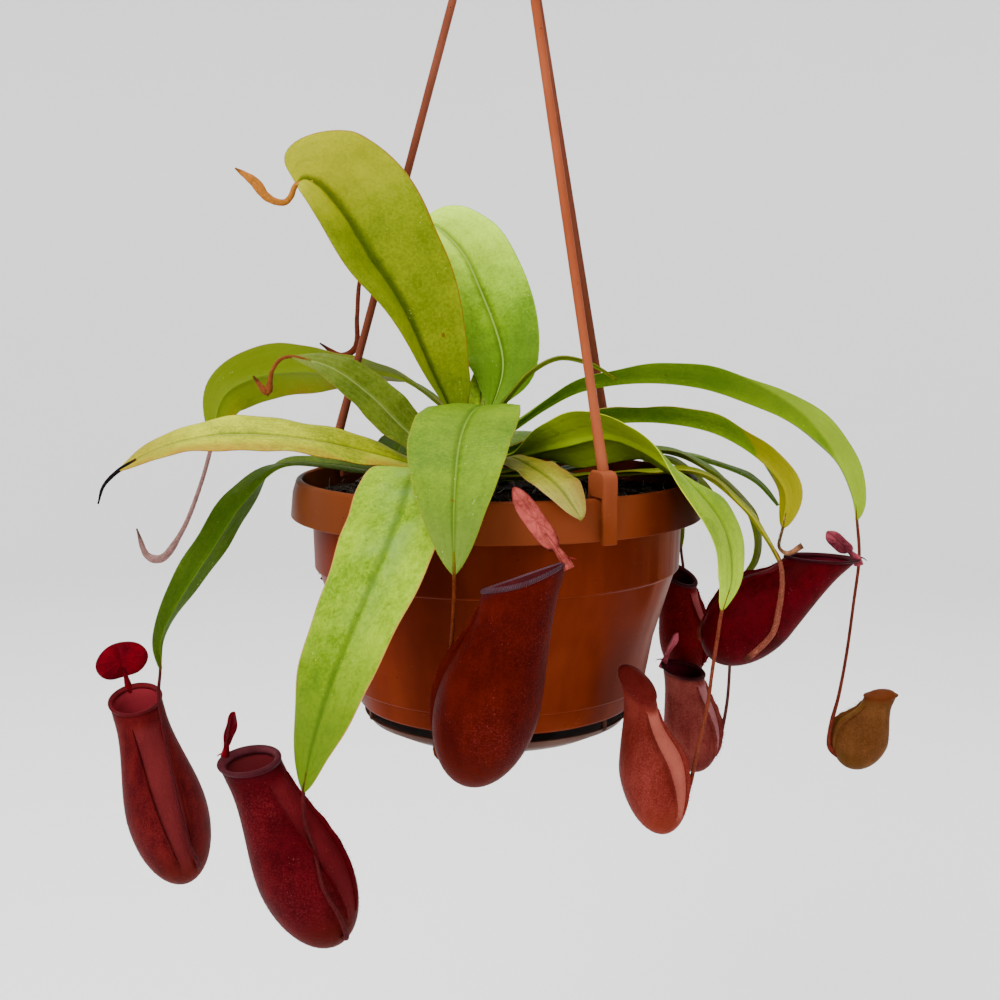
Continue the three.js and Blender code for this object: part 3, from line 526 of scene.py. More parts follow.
leaves = {
    "tall_front": dict(heading=267, arch=[(2, 8), (9, 18), (17, 34), (30, 63), (40, 78), (50, 94), (59, 104),
        (64, 106), (67, 104)], width=54, widest=0.78, fullness=0.25, blunt=0.92, fold=(70, 5),
        twist=[60, 75, 85, 80], wave=0.3, look="yellow"),
    # tall_back's very bright tip tone is partly its own colour and partly a painted highlight
    "tall_back": dict(heading=205, arch=[(2, 18), (8, 28, 9), (13, 41, 14), (30, 68, 12), (40, 83, 8), (55, 93),
        (69, 87, -11)], width=38, fullness=0.7, fold=(20, 20), twist=[20, 30, 30, 10], dark=(82, 118, 10),
        light=(146, 190, 26), base=(62, 92, 4), tip=(190, 232, 52), line=(176, 204, 90), margin=(120, 150, 40),
        ramp=(0.2, 0.55, 0.4, 0.72)),
    "arch_left": dict(heading=234, arch=[(3, 14), (20, 25, 1), (46, 34, 8), (75, 35, 10), (115, 33, 4),
        (131, 24, -4), (137, 5, -6)], width=25, widest=0.7, fold=(14, 14), twist=[0, -30, -60, -70],
        look="green", blush=(104, 84, 14), blushSide=-1),
    "short_left": dict(heading=272, arch=[(3, 5), (18, 8), (29, 17), (41, 29), (55, 39), (69, 43)], width=22,
        fullness=0.8, fold=(14, 14), twist=[20, 40, 40], wave=0.4, look="green", dark=(64, 80, 14),
        light=(106, 122, 36), line=(164, 174, 100)),
    "level_left": dict(heading=288, arch=[(3, -1), (16, 1), (38, 8), (67, 15), (95, 17), (115, 13), (129, 6)],
        width=29, widest=0.55, fullness=0.7, twist=[10, 20, 20, 20], dark=(104, 116, 2), light=(186, 192, 12),
        margin=(120, 60, 34), tip=(140, 122, 34), base=(80, 96, 12), line=(206, 196, 90), blush=(128, 70, 24),
        blushSide=-1),
    "long_left": dict(heading=274, arch=[(3, -1), (30, 0), (56, 4), (74, 4), (87, -8), (100, -27), (113, -47),
        (119, -60), (119, -71)], width=19.5, fullness=0.55, fold=(14, 14), twist=[10, 10, 5, -40, -40, -20],
        look="dark"),
    "broad_front": dict(heading=325, arch=[(3, 0), (40, 5, -6), (62, 6, -16), (78, -5, -23), (95, -31, -22),
        (103, -50, -18), (107, -73, -12), (109, -87, -10)], width=38, fullness=0.65, wave=0.6,
        dark=(74, 108, 4), light=(144, 176, 12), base=(62, 98, 12), tip=(70, 90, 22), hazeAndSheen=(96, 130, 70),
        margin=(186, 116, 70), ramp=(0.02, 0.28, 0.6, 0.95)),
    "middle_front": dict(heading=350, arch=[(3, 10), (12, 24, -3), (40, 26, -4), (66, 19, -5), (90, 3, -8),
        (100, -18, -10)], width=35, fullness=0.7, dark=(66, 96, 0), light=(108, 136, 2), base=(50, 80, 0),
        tip=(92, 112, 44), hazeAndSheen=(78, 106, 14), line=(124, 148, 40), margin=(120, 120, 30)),
    "short_front": dict(heading=22, arch=[(3, -1), (21, 8), (48, 8, 2), (74, 4, 3), (88, -4, 2)], width=18,
        widest=0.65, fold=(12, 12), wave=0.4, dark=(80, 78, 12), light=(140, 138, 34), tip=(134, 124, 60),
        margin=(170, 130, 90), blush=(110, 70, 30), blushSide=-1),
    "near_right": dict(heading=55, arch=[(3, 4), (18, 9), (36, 13, 2), (53, 17, 2), (67, 14, 2), (84, 4, 2),
        (97, -11), (100, -27), (98, -38, 2)], width=38, widest=0.62, fold=(8, 8), twist=[10, 50, 30, 10, 0],
        wave=0.4, dark=(82, 114, 4), light=(134, 163, 10), tip=(170, 204, 30), under=(142, 164, 22),
        margin=(200, 208, 60)),
    "under_right": dict(heading=90, arch=[(3, 0), (28, 5, 2), (49, 9, 2), (71, 8, 2), (90, -4, 1), (100, -19),
        (100, -32), (95, -39, 1)], width=24, widest=0.65, look="green", dark=(62, 92, 6), light=(98, 124, 18)),
    "cut_right": dict(heading=80, arch=[(3, -1), (40, 1, 2), (60, 3, 4), (79, 3, 6), (94, -8, 8),
        (103, -20, 10), (107, -27, 11)], width=12, widest=0.75, wave=0.4, look="yellow", dark=(100, 112, 20),
        light=(140, 148, 44)),
    "twisted_right": dict(heading=80, arch=[(3, 7), (14, 11), (28, 17), (43, 20), (64, 21), (85, 17), (101, 7),
        (109, -4), (108, -17)], width=20, widest=0.6, fullness=0.5, fold=(24, 24), twist=[10, 20, 20, 50],
        dark=(64, 90, 14), under=(76, 104, 14), turned=(136, 128, 8), turn=(-1, 0.66, 0.88)),
    "dark_right": dict(heading=104, arch=[(3, 3), (22, 6, -3), (46, 9, -3), (70, 7, -3), (94, 1, -3),
        (109, -6, -3), (119, -16, -3)], width=18, widest=0.6, wave=0.4, look="dark"),
    "long_right": dict(heading=98, arch=[(3, 12), (12, 18), (23, 25), (36, 31), (58, 34), (81, 32), (100, 26),
        (120, 17), (136, 3), (143, -12), (144, -20)], width=26, widest=0.62, fullness=0.55, fold=(26, 26),
        twist=[10, 20, 20, 10], wave=0.4, under=(88, 120, 18), turned=(144, 172, 40), margin=(120, 150, 40),
        turn=(-1, 0.45, 1.25)),
    "young_curl": dict(heading=92, arch=[(2, 20), (10, 30, 1), (17, 38, 5), (27, 43, 6), (38, 41, 6),
        (48, 35, 7)], width=3, fullness=0.4, wave=0, look="green", tip=(60, 60, 12), light=(104, 118, 18)),
    "young_back": dict(heading=190, arch=[(1, 12, 1), (6, 20), (14, 31, 2), (20, 41, 6)], width=10, widest=0.6,
        fullness=0.5, wave=0.2),
    "back_right": dict(heading=114, arch=[(3, -1), (32, 0, -1), (58, 3, -3), (80, 2, -3), (97, -12, -2),
        (104, -32, 1), (103, -49, 5)], width=14, wave=0.4, look="green"),
    "low_back_right": dict(heading=128, arch=[(3, 4), (30, 9), (56, 9), (78, 4), (92, -8, 2), (98, -26, 3),
        (98, -38, 5)], width=16, wave=0.4, look="green"),
    "middle_back": dict(heading=172, arch=[(3, 1), (28, 5), (58, 10), (80, 3), (92, -16), (96, -36)], width=28,
        wave=0.6, look="green"),
    "low_back_left": dict(heading=207, arch=[(3, 3), (28, 9), (56, 11), (78, 4), (90, -12), (95, -30)],
        width=24, look="dark")
}

blade = dict(
    rowEvery=1.9, columns=[0, 0.03, 0.07, 0.14, 0.25, 0.38, 0.52, 0.66, 0.79, 0.9, 0.97, 1], base=1.6,
    thick=0.62, rib=1.1, groove=0.35, petiole=(5, 0.9), hairEvery=1.3, hairLength=0.55, hairRadius=0.05)


def leafRoute(leaf):
    return Route([place(leaf["heading"], station) for station in leaf["arch"]])


def bladeFrame(leaf, rib, t):
    # The rib's place, the directions across and up from the blade, and its half width
    along = rib.along(t)
    side = squared(rightHand(leaf["heading"]), along)
    twist = radians(blendStops(leaf["twist"], t))
    across = side * cos(twist) + side.cross(along) * sin(twist)
    swell = sin(pi * min(1, max(0, t)) ** (log(0.5) / log(leaf["widest"])))
    width = leaf["width"] * smooth(-0.04, 0.22, t) * max(swell, 0) ** leaf["fullness"]
    if "blunt" in leaf:
        width *= sqrt(1 - max(0, (t - leaf["blunt"]) / (1 - leaf["blunt"])) ** 2)
    petiole = mixed(*blade["petiole"], smooth(0, 1, t))
    return rib.at(t), across, across.cross(along), max(petiole, width) / 2


def bladePoint(leaf, shape, t, f, phase):
    # A point in the middle of the blade: two halves folded up from the rib, drooping and waved
    centre, across, up, halfWidth = shape
    fold = radians(leaf["fold"][0 if f < 0 else 1])
    lift = sqrt(f * f + 0.0016) - 0.04
    droop = 0.12 * f * f * halfWidth
    swing = sin(t * 21 + phase + (2.1 if f < 0 else 0)) + 0.5 * sin(t * 47 + 2 * phase)
    wave = leaf["wave"] * abs(f) ** 3 * swing * smooth(0, 0.3, t) * smooth(1, 0.8, t)
    rise = halfWidth * lift * sin(fold) - droop + wave
    return centre + (across * (halfWidth * f * cos(fold)) + up * rise)


def addFringe(bm, leaf, shapes, phase):
    # Fine hairs along both margins
    hairs = []
    for f in (-1, 1):
        run, last = 0, None
        for t, shape in shapes:
            edge = bladePoint(leaf, shape, t, f, phase)
            run += (edge - last).length if last else 0
            last = edge
            while run > blade["hairEvery"] and 0.2 < t < 0.99:
                run -= blade["hairEvery"] * vary(0.7, 1.3)
                direction = strayed(shape[1] * f, 0.5)
                length = blade["hairLength"] * vary(0.5, 1.2)
                hairs.append((edge - direction * 0.1, direction, length, blade["hairRadius"]))
    addHairs(bm, hairs, 1)


def makeLeaf(name, leaf, phase):
    rib = leafRoute(leaf)
    columns = [-f for f in reversed(blade["columns"][1:])] + blade["columns"]
    crowding = 2.2 if "blunt" in leaf else 1.15  # how much closer the rows lie at the tip
    steps = max(24, round(rib.length / blade["rowEvery"] * crowding / 1.15))
    rows, shapes = [(0, rib.at(0))], []
    for share in shares(steps):
        t = 1 - (1 - share) ** crowding
        shape = bladeFrame(leaf, rib, t)
        shapes.append((t, shape))
        half = mixed(blade["base"], blade["thick"], min(1, t * 5)) / 2
        strength = smooth(1.02, 0.7, t)
        top, below = [], []
        for f in columns:
            middle = bladePoint(leaf, shape, t, f, phase)
            near = exp(-(f / 0.07) ** 2)
            edge = half * (1 - 0.75 * smooth(0.8, 1, abs(f)))
            top.append(middle + shape[2] * (edge - blade["groove"] * near * strength * smooth(0, 0.1, t)))
            below.append(middle - shape[2] * (edge + blade["rib"] * near * mixed(0.45, 1, strength)))
        rows.append((t, top + below[::-1]))
    bm = bmesh.new()
    around = [(f + 1) / 2 for f in columns] + [1 + (1 - f) / 2 for f in reversed(columns)] + [2]
    wrap(bm, [*rows, (1, rib.at(1))], around)
    if leaf["wave"]:
        addFringe(bm, leaf, shapes, phase)
    makePiece(f"leaf_{name}", bm, [paintLeaf(name, leaf, rib.length), marginHair])


# Pitchers, each on the tendril of its leaf. Base and mouth are the ends of the trap's axis, facing
# is the heading of its winged front, and slant leans the opening towards that front. The lid has
# its length and width, opens by an angle from the mouth's plane, and can roll about its length.
# velvet is the strength of the painted velvet sheen on each trap
pitcherDefaults = dict(
    bellyAt=0.38, lip=1.5, flare=0, slant=20, roll=0, look="red", colours={}, sheenAmount=0.1, leafEnd=(92, 112, 20),
    sides=72, wall=1, flat=0.94, lipRibs=64, lipSides=256, overhang=0.6, wingHeight=2, wingEdge=0.5,
    fringeEvery=1.1, fringeLength=1.7, fringeRadius=0.09, furEvery=1.5, furLength=0.7, furRadius=0.05,
    lidNeck=3, lidThick=0.9, lidHairs=60, spur=3.5, radii=[0.5, 0.62, 0.62, 0.62, 0.64, 0.7, 0.9, 1.6])

pitchers = {
    "long_left": dict(tendril=[(120, -81), (119, -92, 1), (117, -105), (113, -125, -3), (110, -139, -2),
        (108, -149, 4)], base=(114, -159, 13), mouth=(131, -86, 13), facing=25, belly=16.2, throat=10.2,
        lip=1.3, slant=18, lid=(15, 20), open=100, colours=dict(dark=(54, 10, 16), light=(90, 27, 26),
        panel=(94, 36, 38), lip=(60, 10, 16), rim=(96, 24, 30), inside=(124, 40, 48)),
        tendrilColour=(64, 20, 24), sheenAmount=0.08),
    "broad_front": dict(tendril=[(111, -95, -12), (111, -104, -16), (112, -114, -20), (109, -124, -24),
        (104, -133, -22)], base=(99, -139, -14), mouth=(114, -79, 8), facing=60, belly=15.3, throat=9.4,
        lip=1.9, slant=18, lid=(15, 6), open=66, colours=dict(dark=(50, 4, 12), light=(76, 14, 20),
        inside=(96, 34, 38)), tendrilColour=(64, 22, 24), sheenAmount=0.14),
    "middle_front": dict(tendril=[(101, -28, -10), (96, -42, -8), (89, -56, -5), (84, -68, -2), (86, -78, -1)],
        base=(95, -84, -12), mouth=(98, -18, -31), facing=245, belly=16, throat=11, lip=1.9, flare=3.2,
        slant=38, lid=(24, 8), open=72, roll=78, colours=dict(dark=(50, 8, 2), light=(72, 18, 8),
        lip=(46, 24, 30), rim=(86, 64, 72), lid=(164, 74, 68)), tendrilColour=(76, 34, 14), sheenAmount=0.16),
    "under_right": dict(tendril=[(88, -43, 6), (81, -49, 13), (78, -57, 17)], base=(81, -64, 17),
        mouth=(121, -28, 17), facing=270, belly=14, bellyAt=0.4, throat=9, slant=45, lid=(12, 8), open=40,
        roll=42, look="deep", tendrilColour=(80, 34, 28), sheenAmount=0.08),
    "near_right": dict(tendril=[(97, -48, 3), (96, -58, 4), (95, -70, 5), (93, -84, 7), (90, -98, 7),
        (86, -110, 8)], base=(82, -116, 9), mouth=(73, -65, 13), facing=40, belly=12, bellyAt=0.42, throat=5.5,
        lip=0, slant=45, look="brick", tendrilColour=(98, 46, 32), sheenAmount=0.3),
    "long_right": dict(tendril=[(145, -34, 1), (143, -52, 2), (140, -72, 4), (137, -88, 5), (134, -99, 6),
        (134, -108, 6)], base=(141, -116, 6), mouth=(153, -88, 7), facing=270, belly=10.4, bellyAt=0.44,
        throat=5.5, lip=0, slant=25, look="olive", tendrilColour=(90, 38, 28), sheenAmount=0.08),
    "low_back_right": dict(tendril=[(99, -50, 6), (99, -64, 5), (98, -78, 5), (98, -86, 6)], base=(96, -90, 12),
        mouth=(89, -46, 12), facing=60, belly=10, bellyAt=0.4, throat=7.4, lip=1.4, slant=30, lid=(13, 10),
        open=95, look="deep", colours=dict(dark=(58, 3, 5), light=(90, 10, 14), panel=(120, 56, 58)),
        tendrilColour=(70, 36, 34)),
    "back_right": dict(tendril=[(105, -60, 6), (104, -72, 7), (104, -84, 7), (103, -98, 7), (100, -111, 7),
        (97, -118, 6)], base=(91, -124, 5), mouth=(85, -82, 3), facing=60, belly=11, bellyAt=0.4, throat=8,
        lip=1.4, lid=(11, 10), open=80, look="deep", colours=dict(dark=(78, 26, 24), light=(114, 56, 50),
        panel=(142, 92, 94)), tendrilColour=(80, 46, 42), sheenAmount=0.2),
    "middle_back": dict(tendril=[(97, -48), (96, -62), (96, -76), (98, -86), (101, -92)], base=(107, -96),
        mouth=(113, -46), facing=352, belly=11, throat=8.6, lip=1.6, lid=(13, 11), open=95,
        tendrilColour=(84, 36, 28), sheenAmount=0.3),
    "low_back_left": dict(tendril=[(96, -44, -3), (94, -62, -6), (92, -79, -10), (90, -92, -14)],
        base=(92, -100, -22), mouth=(96, -56, -19), facing=100, belly=10, throat=7.6, lid=(9, 8), open=60,
        tendrilColour=(84, 36, 28), sheenAmount=0.2)
}

class Trap:
    # A pitcher's own directions and its girth: up its axis, towards its winged front, to the side
    def __init__(self, heading, pitcher):
        vars(self).update(pitcher)
        self.base = place(heading, self.base)
        reach = place(heading, self.mouth) - self.base
        self.length = reach.length
        self.axis = reach.normalized()
        self.front = squared(outward(self.facing), self.axis)
        self.side = self.front.cross(self.axis)

    def girth(self, s):
        if s < self.bellyAt:
            return self.belly * sqrt(max(0, 1 - (1 - s / self.bellyAt) ** 2))
        return mixed(self.belly, self.throat, smooth(self.bellyAt, 0.9, s))

    def point(self, s, angle, radius, lift=0):
        ahead = radius * cos(angle)
        lean = tan(radians(self.slant)) * smooth(0.5, 1, s)
        return (self.base + self.axis * (s * self.length + lift - lean * ahead) + self.front * ahead
                + self.side * (self.flat * radius * sin(angle)))

    def skin(self, s, angle, out=0):
        return self.point(s, angle, self.girth(s) + out)

    def out(self, s, angle):
        near = self.skin(s, angle)
        up = self.skin(s + 0.01, angle) - near
        normal = (self.skin(s, angle + 0.05) - near).cross(up).normalized()
        return normal if normal.dot(self.skin(s, angle, 1) - near) > 0 else -normal


def addTrap(bm, body):
    # The sack: a closed skin that runs up the outside, over the throat and down the inside
    throat, wall, bellyAt = body.throat, body.wall, body.bellyAt
    outside = [bellyAt * (1 - cos(pi / 2 * share)) for share in shares(14)]
    outside += [mixed(bellyAt, 1, share) for share in shares(20)[1:]]
    stops = [(s, body.girth(s), s, 0) for s in outside]  # share of the axis, radius, mark and lift
    if body.lip:
        stops += [(1, throat - 0.5, 1.06, 0.2), (0.995, throat - wall, 1.1, 0)]
        stops += [(s, body.girth(s) - wall, 2 - 0.9 * s, 0) for s in reversed(outside[3:-2])]
    else:
        stops += [(1, radius, 1, lift) for radius, lift in (
            (throat + 0.5, 0.4), (throat + 0.4, 0.9), (0.86 * throat, 1.5), (0.7 * throat, 2.2),
            (0.5 * throat, 2.7), (0.3 * throat, 3), (0, 3.1))]
    rows = [(mark, [body.point(s, angle, radius, lift) for angle in turns(body.sides)])
            for s, radius, mark, lift in stops]
    wrap(bm, [*rows, (2, body.point(outside[2], 0, 0))] if body.lip else rows)


def addLip(bm, body):
    # The rolled lip, finely ribbed, which hangs lower in front if it is flared
    lip, throat = body.lip, body.throat
    half = (lip + body.overhang) / 2
    shown = atan2(-body.side.y, -body.front.y)  # the bearing that faces the front of the pot
    rows = []
    for share in shares(14):
        roll = 2 * pi * (share % 1)
        ring = []
        for angle in turns(body.lipSides):
            droop = body.flare * max(0, cos(angle - shown)) ** 2 * (0.5 + 0.5 * cos(roll))
            swell = 1 + 0.04 * cos(body.lipRibs * angle)
            radius = throat + body.overhang - half + half * swell * cos(roll)
            lift = lip * (-0.25 + 0.66 * swell * sin(roll + 0.5)) - droop
            ring.append(body.point(1, angle, radius, lift))
        rows.append((share, ring))
    wrap(bm, rows, None, 1)


def addWing(bm, body, turn, hairs):
    # One of the two fringed wings that run down the front
    corners = [(-1.9, -0.3), (-1, 0.25), (-0.7, 0.7), (0, 1), (0.7, 0.7), (1, 0.25), (1.9, -0.3)]
    rows, crest = [], []
    for share in shares(40):
        s, angle = mixed(0.92, 0.14, share), turn * mixed(0.55, 0.2, share)
        height = body.wingHeight * sin(pi * mixed(0.04, 0.96, share)) ** 0.7
        height *= 1 + 0.08 * sin(share * 37)
        half = body.wingEdge / 2 / body.girth(s)
        rows.append((s, [body.skin(s, angle + half * side, height * rise) for side, rise in corners]))
        crest.append((s, angle, height))
    first, last = [(s, sum(ring, Vector()) / len(ring)) for s, ring in (rows[0], rows[-1])]
    wrap(bm, [first, *rows, last], [0.5 * (turn < 0) + 0.25 + 0.02 * k for k in range(8)])
    for (s, angle, height), (nextS, nextAngle, _) in zip(crest, crest[1:]):
        gap = (body.skin(nextS, nextAngle) - body.skin(s, angle)).length
        many = max(1, round(gap / body.fringeEvery + vary(-0.4, 0.4)))
        for k in range(many):
            f = (k + chance.random()) / many
            spot = mixed(s, nextS, f), mixed(angle, nextAngle, f)
            root = body.skin(*spot, height * 0.9)
            direction = strayed(body.out(*spot), 0.35)
            hairs.append((root, direction, body.fringeLength * vary(0.5, 1), body.fringeRadius))


def addFur(body, top, hairs):
    # Short hairs all over the outside
    s = 0.04
    while s < top:
        for _ in range(round(2 * pi * body.girth(s) / body.furEvery / 1.6)):
            spot = s + vary(0, 0.03), vary(0, 2 * pi)
            direction = strayed(body.out(*spot), 0.5)
            length = body.furLength * vary(0.4, 1.1)
            hairs.append((body.skin(*spot, -0.05), direction, length, body.furRadius))
        s += body.furEvery / body.length


def addLid(bm, body, hairs):
    # A dished lid with a keel, on a short neck at the back of the mouth, with a spur behind it
    neck = body.lidNeck
    slant, opened, roll = [radians(turn) for turn in (body.slant, body.open, body.roll)]
    forward = body.front * cos(slant) - body.axis * sin(slant)
    up = body.side.cross(forward)
    up = up if up.dot(body.axis) > 0 else -up
    hinge = body.base + body.axis * body.length - forward * (body.throat / cos(slant)) + up * 0.2
    reach = forward * cos(opened) + up * sin(opened)
    broad = body.side.copy()
    broad.rotate(Matrix.Rotation(roll, 3, reach))
    face = broad.cross(reach)
    halfLength, halfWidth = [size / 2 for size in body.lid]
    centre = hinge + reach * (neck + halfLength)
    rows = []
    for layer, share in [(1, share) for share in shares(9)] + [(-1, 1 - share) for share in shares(9)]:
        thick = 0.5 * body.lidThick * sqrt(max(0, 1 - share ** 6))
        ring = []
        for angle in turns(64):
            along, across = cos(angle), sin(angle)
            notch = 1 - 0.14 * max(0, -along) ** 8
            keel = 0.5 * exp(-(across * share / 0.12) ** 2) * smooth(1, 0.6, share)
            level = layer * thick - 0.6 * (share * across) ** 2 + (keel if layer < 0 else -0.3 * keel)
            level += 0.25 * share ** 3 * sin(5 * angle)
            ring.append(centre + reach * (halfLength * share * notch * along)
                        + broad * (halfWidth * share * across) + face * level)
        rows.append((share, ring))
    wrap(bm, rows, None, 2)
    stalk = Route([hinge - up * 1.6 - reach * 0.8, hinge, hinge + reach * (neck * 0.6),
                   hinge + reach * (neck + 0.6 * halfLength)])
    addTube(bm, stalk, [1.7, 1.3, 0.9, 0.5], 12, 14, 2)
    spur = Route([hinge + reach * 1, hinge - forward * (body.spur * 0.5) + up * 0.6,
                  hinge - forward * body.spur - up * 0.4])
    addTube(bm, spur, [0.55, 0.3, 0.12], 8, 8, 3, 0.15)
    for k in range(body.lidHairs):  # hairs on the lid's rim
        angle = 2 * pi * (k + chance.random()) / body.lidHairs
        edge = reach * (halfLength * cos(angle)) + broad * (halfWidth * sin(angle))
        hairs.append((centre + edge * 0.97, strayed(edge.normalized(), 0.4), 0.8 * vary(0.4, 1), 0.05))


def tendrilRoute(leaf, stations, ends):
    # Starts inside the last stretch of the rib, so that the rib runs on into the tendril
    rib = leafRoute(leaf)
    back = min(7, 0.1 * rib.length)
    stops = [place(leaf["heading"], station) for station in stations]
    return Route([rib.at(1 - back / rib.length), rib.at(1), *stops, *ends])


def addFuzz(route, radii, every, length, hairs):
    run = 4
    while run < route.length - 2:
        share = run / route.length
        along = route.along(share)
        out = along.orthogonal().normalized()
        out.rotate(Matrix.Rotation(vary(0, 2 * pi), 3, along))
        root = route.at(share) + out * (blendStops(radii, share) * 0.9)
        hairs.append((root, strayed(out, 0.25), length * vary(0.5, 1.2), 0.045))
        run += every * vary(0.5, 1.5)


def makePitcher(name, pitcher):
    leaf = leaves[name]
    body = Trap(leaf["heading"], pitcher)
    look = {**pitcherLooks[pitcher["look"]], **pitcher["colours"]}
    bm, hairs, radii = bmesh.new(), [], body.radii
    addTrap(bm, body)
    if pitcher["lip"]:
        addLip(bm, body)
    addWing(bm, body, 1, hairs)
    addWing(bm, body, -1, hairs)
    addFur(body, 0.97, hairs)
    if "lid" in pitcher:
        addLid(bm, body, hairs)
    route = tendrilRoute(leaf, pitcher["tendril"], [body.base + body.axis * (0.1 * body.length)])
    addTube(bm, route, radii, round(route.length / 1.6), 12, 4, 0.02)
    addFuzz(route, radii, 0.5, 0.5, hairs)
    addHairs(bm, hairs, 3)
    paints = [paintTrap(name, look, pitcher["sheenAmount"]), paintLip(name, look), paintLid(name, look), furHair,
              paintTendril(name, body.leafEnd, pitcher["tendrilColour"], 0.3, 0.16)]
    makePiece(f"pitcher_{name}", bm, paints)


# Tendrils with no pitcher: small buds that have not opened, and dried or cut ends
tendrilDefaults = dict(node="bud", full=0.16, fuzz=0.3, hair=0.35)

tendrils = {
    "tall_front": dict(stations=[(69, 100), (71, 98), (74, 98), (78, 100), (82, 105), (89, 110)],
        radii=[0.6, 0.9, 1, 1.1, 1.2, 1.3, 1.6, 1.9, 1.7, 1.1, 0.35], start=(150, 140, 40), end=(150, 92, 36)),
    "tall_back": dict(stations=[(76, 74, -19), (77, 57, -21), (77, 44, -22), (80, 41, -27), (83, 46, -35)],
        radii=[0.7, 0.8, 0.8, 0.85, 0.9, 0.9, 1, 1.4, 1.2, 0.4], start=(92, 80, 30), end=(88, 40, 28)),
    "arch_left": dict(stations=[(143, -14, -8), (150, -34, -13), (159, -46, -17), (164, -45, -20),
        (167, -33, -23)], radii=[0.8, 0.9, 0.9, 0.9, 0.95, 1, 1.1, 1.6, 1.8, 1.2, 0.4], start=(90, 90, 30),
        end=(118, 88, 84), fuzz=0.5, hair=0.45),
    "short_left": dict(stations=[(73, 42), (76, 38), (77, 34), (78, 30), (83, 36)],
        radii=[0.5, 0.6, 0.6, 0.65, 0.7, 0.7, 0.9, 1.4, 1.3, 0.9, 0.35], start=(90, 92, 26), end=(108, 58, 30),
        hair=0.3),
    "level_left": dict(node="dry_tip", stations=[(134, 1), (136, -5)], radii=[0.9, 0.8, 0.7, 0.55, 0.3],
        start=(70, 44, 24), end=(24, 18, 22), fuzz=0.1, hair=0),
    "cut_right": dict(node="cut_tendril", stations=[(108, -34, 13), (107, -43, 17), (105, -51, 19),
        (96, -61, 19)], radii=[0.6, 0.8, 0.9, 1, 1, 1.05, 1], start=(104, 100, 30), end=(104, 54, 42), fuzz=0.6,
        hair=0.5),
    "twisted_right": dict(node="dry_tendril", stations=[(107, -24), (110, -26), (115, -23)],
        radii=[0.5, 0.55, 0.55, 0.6, 0.9, 1.1], start=(54, 46, 20), end=(128, 84, 60), full=0.78, fuzz=0.7,
        hair=1.1)
}


def makeTendril(name, tendril):
    radii = tendril["radii"]
    route = tendrilRoute(leaves[name], tendril["stations"], [])
    bm, hairs = bmesh.new(), []
    addTube(bm, route, radii, round(route.length / 0.8), 14, 0, 0.03)
    if tendril["hair"]:
        addFuzz(route, radii, 0.35, tendril["hair"], hairs)
        addHairs(bm, hairs, 1)
    paints = [paintTendril(name, *[tendril[key] for key in ("start", "end", "fuzz", "full")]), marginHair]
    makePiece(f"{tendril['node']}_{name}", bm, paints)


# Pot, saucer, soil and hanger. Profiles list the radius and height of each corner.
pot = dict(
    outside=[(50.1, -83.2), (51.1, -82.2), (52.6, -75.6), (54.6, -75.4), (57.8, -58), (65.3, -33.3),
             (66.7, -32.7), (67.3, -11.3), (73.3, -11.3), (73.3, -13.7), (75, -13.7), (74.2, -5), (72.9, -0.7),
             (72, 0)],
    inside=[(71, 0), (70.6, -0.6), (70.6, -9.7), (65.6, -9.7), (65.1, -32.7), (63.7, -33.5), (56.2, -58),
            (51, -75.4), (48.5, -81.2)],
    drain=3.5, drainCircle=30, drains=6, steps=144, rough=0.3, sharp=30, bevel=(0.45, 3, 35),
    # the rim tones paint a highlight along the rim and a shadow at its right end
    tones=dict(dark=(76, 24, 0), light=(104, 38, 2), hazeAndSheen=(126, 72, 50), rim=(114, 56, 32),
               rimLeftHighlight=(84, 46, 24), rimRightShadow=(40, 6, 0)))

saucer = dict(
    profile=[(0, -92.6), (37, -92.6), (40, -92.4), (47.5, -88.7), (49.5, -86.2), (47.9, -86.2), (46.1, -88.2),
             (39, -91), (0, -91)],
    posts=6, post=(1.2, 2.2, 3.9), postPlace=(48.6, 0, -85.45), rough=0.36, sharp=30, bevel=(0.3, 2, 35),
    tones=dict(dark=(50, 28, 20), light=(74, 46, 36), hazeAndSheen=(120, 98, 88)))

soil = dict(
    profile=[(0, -80.9), (47.9, -80.9), (50.4, -75.2), (55.5, -58), (63.2, -33.3), (64.8, -32.7), (65.2, -9.4),
             (70.3, -9.4), (70.3, -8)],
    top=-6, edge=70.3, dish=2, clods=520, fibres=130)

hanger = dict(
    arms=(28, 142, 240), foot=(73.8, 5), rod=[1.9, 1.5, 1.5, 1.5, 1.5, 1.5, 1.5, 1.5], apex=233, lean=3,
    neck=22, neckRadii=[3.6, 3.2, 2.6, 2.2, 1.9], hook=11, hookRod=1.9, hookTurn=250,
    clip=[(75.8, -14.7), (77.6, -14.7), (77.6, 6), (77.2, 7.6), (76.2, 8.6), (74.6, 9), (69.6, 9), (67.6, 7),
          (67.6, -5), (69.4, -5), (69.4, 0.3), (75.8, 0.3)],
    clipWidth=5.4, rough=0.32, sharp=40, bevel=(0.5, 3, 40),
    # low and far are painted shade, on the clips and on the rods behind
    tones=dict(dark=(124, 60, 36), light=(158, 86, 58), hazeAndSheen=(176, 104, 80), low=(96, 42, 14),
               far=(92, 50, 38)))

stem = dict(low=-42, high=27, tip=28, radius=5.2, rows=60, sides=36)


def makePlastic(name, bm, values):
    # A moulding with softened edges
    paint = paintPlastic(f"{name} plastic", values["rough"], values["tones"])
    piece = makePiece(name, bm, [paint], values["sharp"])
    bevel = piece.modifiers.new("soft edges", "BEVEL")
    width, bevel.segments, angle = values["bevel"]
    bevel.width = width * millimetre
    bevel.limit_method = "ANGLE"
    bevel.angle_limit = radians(angle)


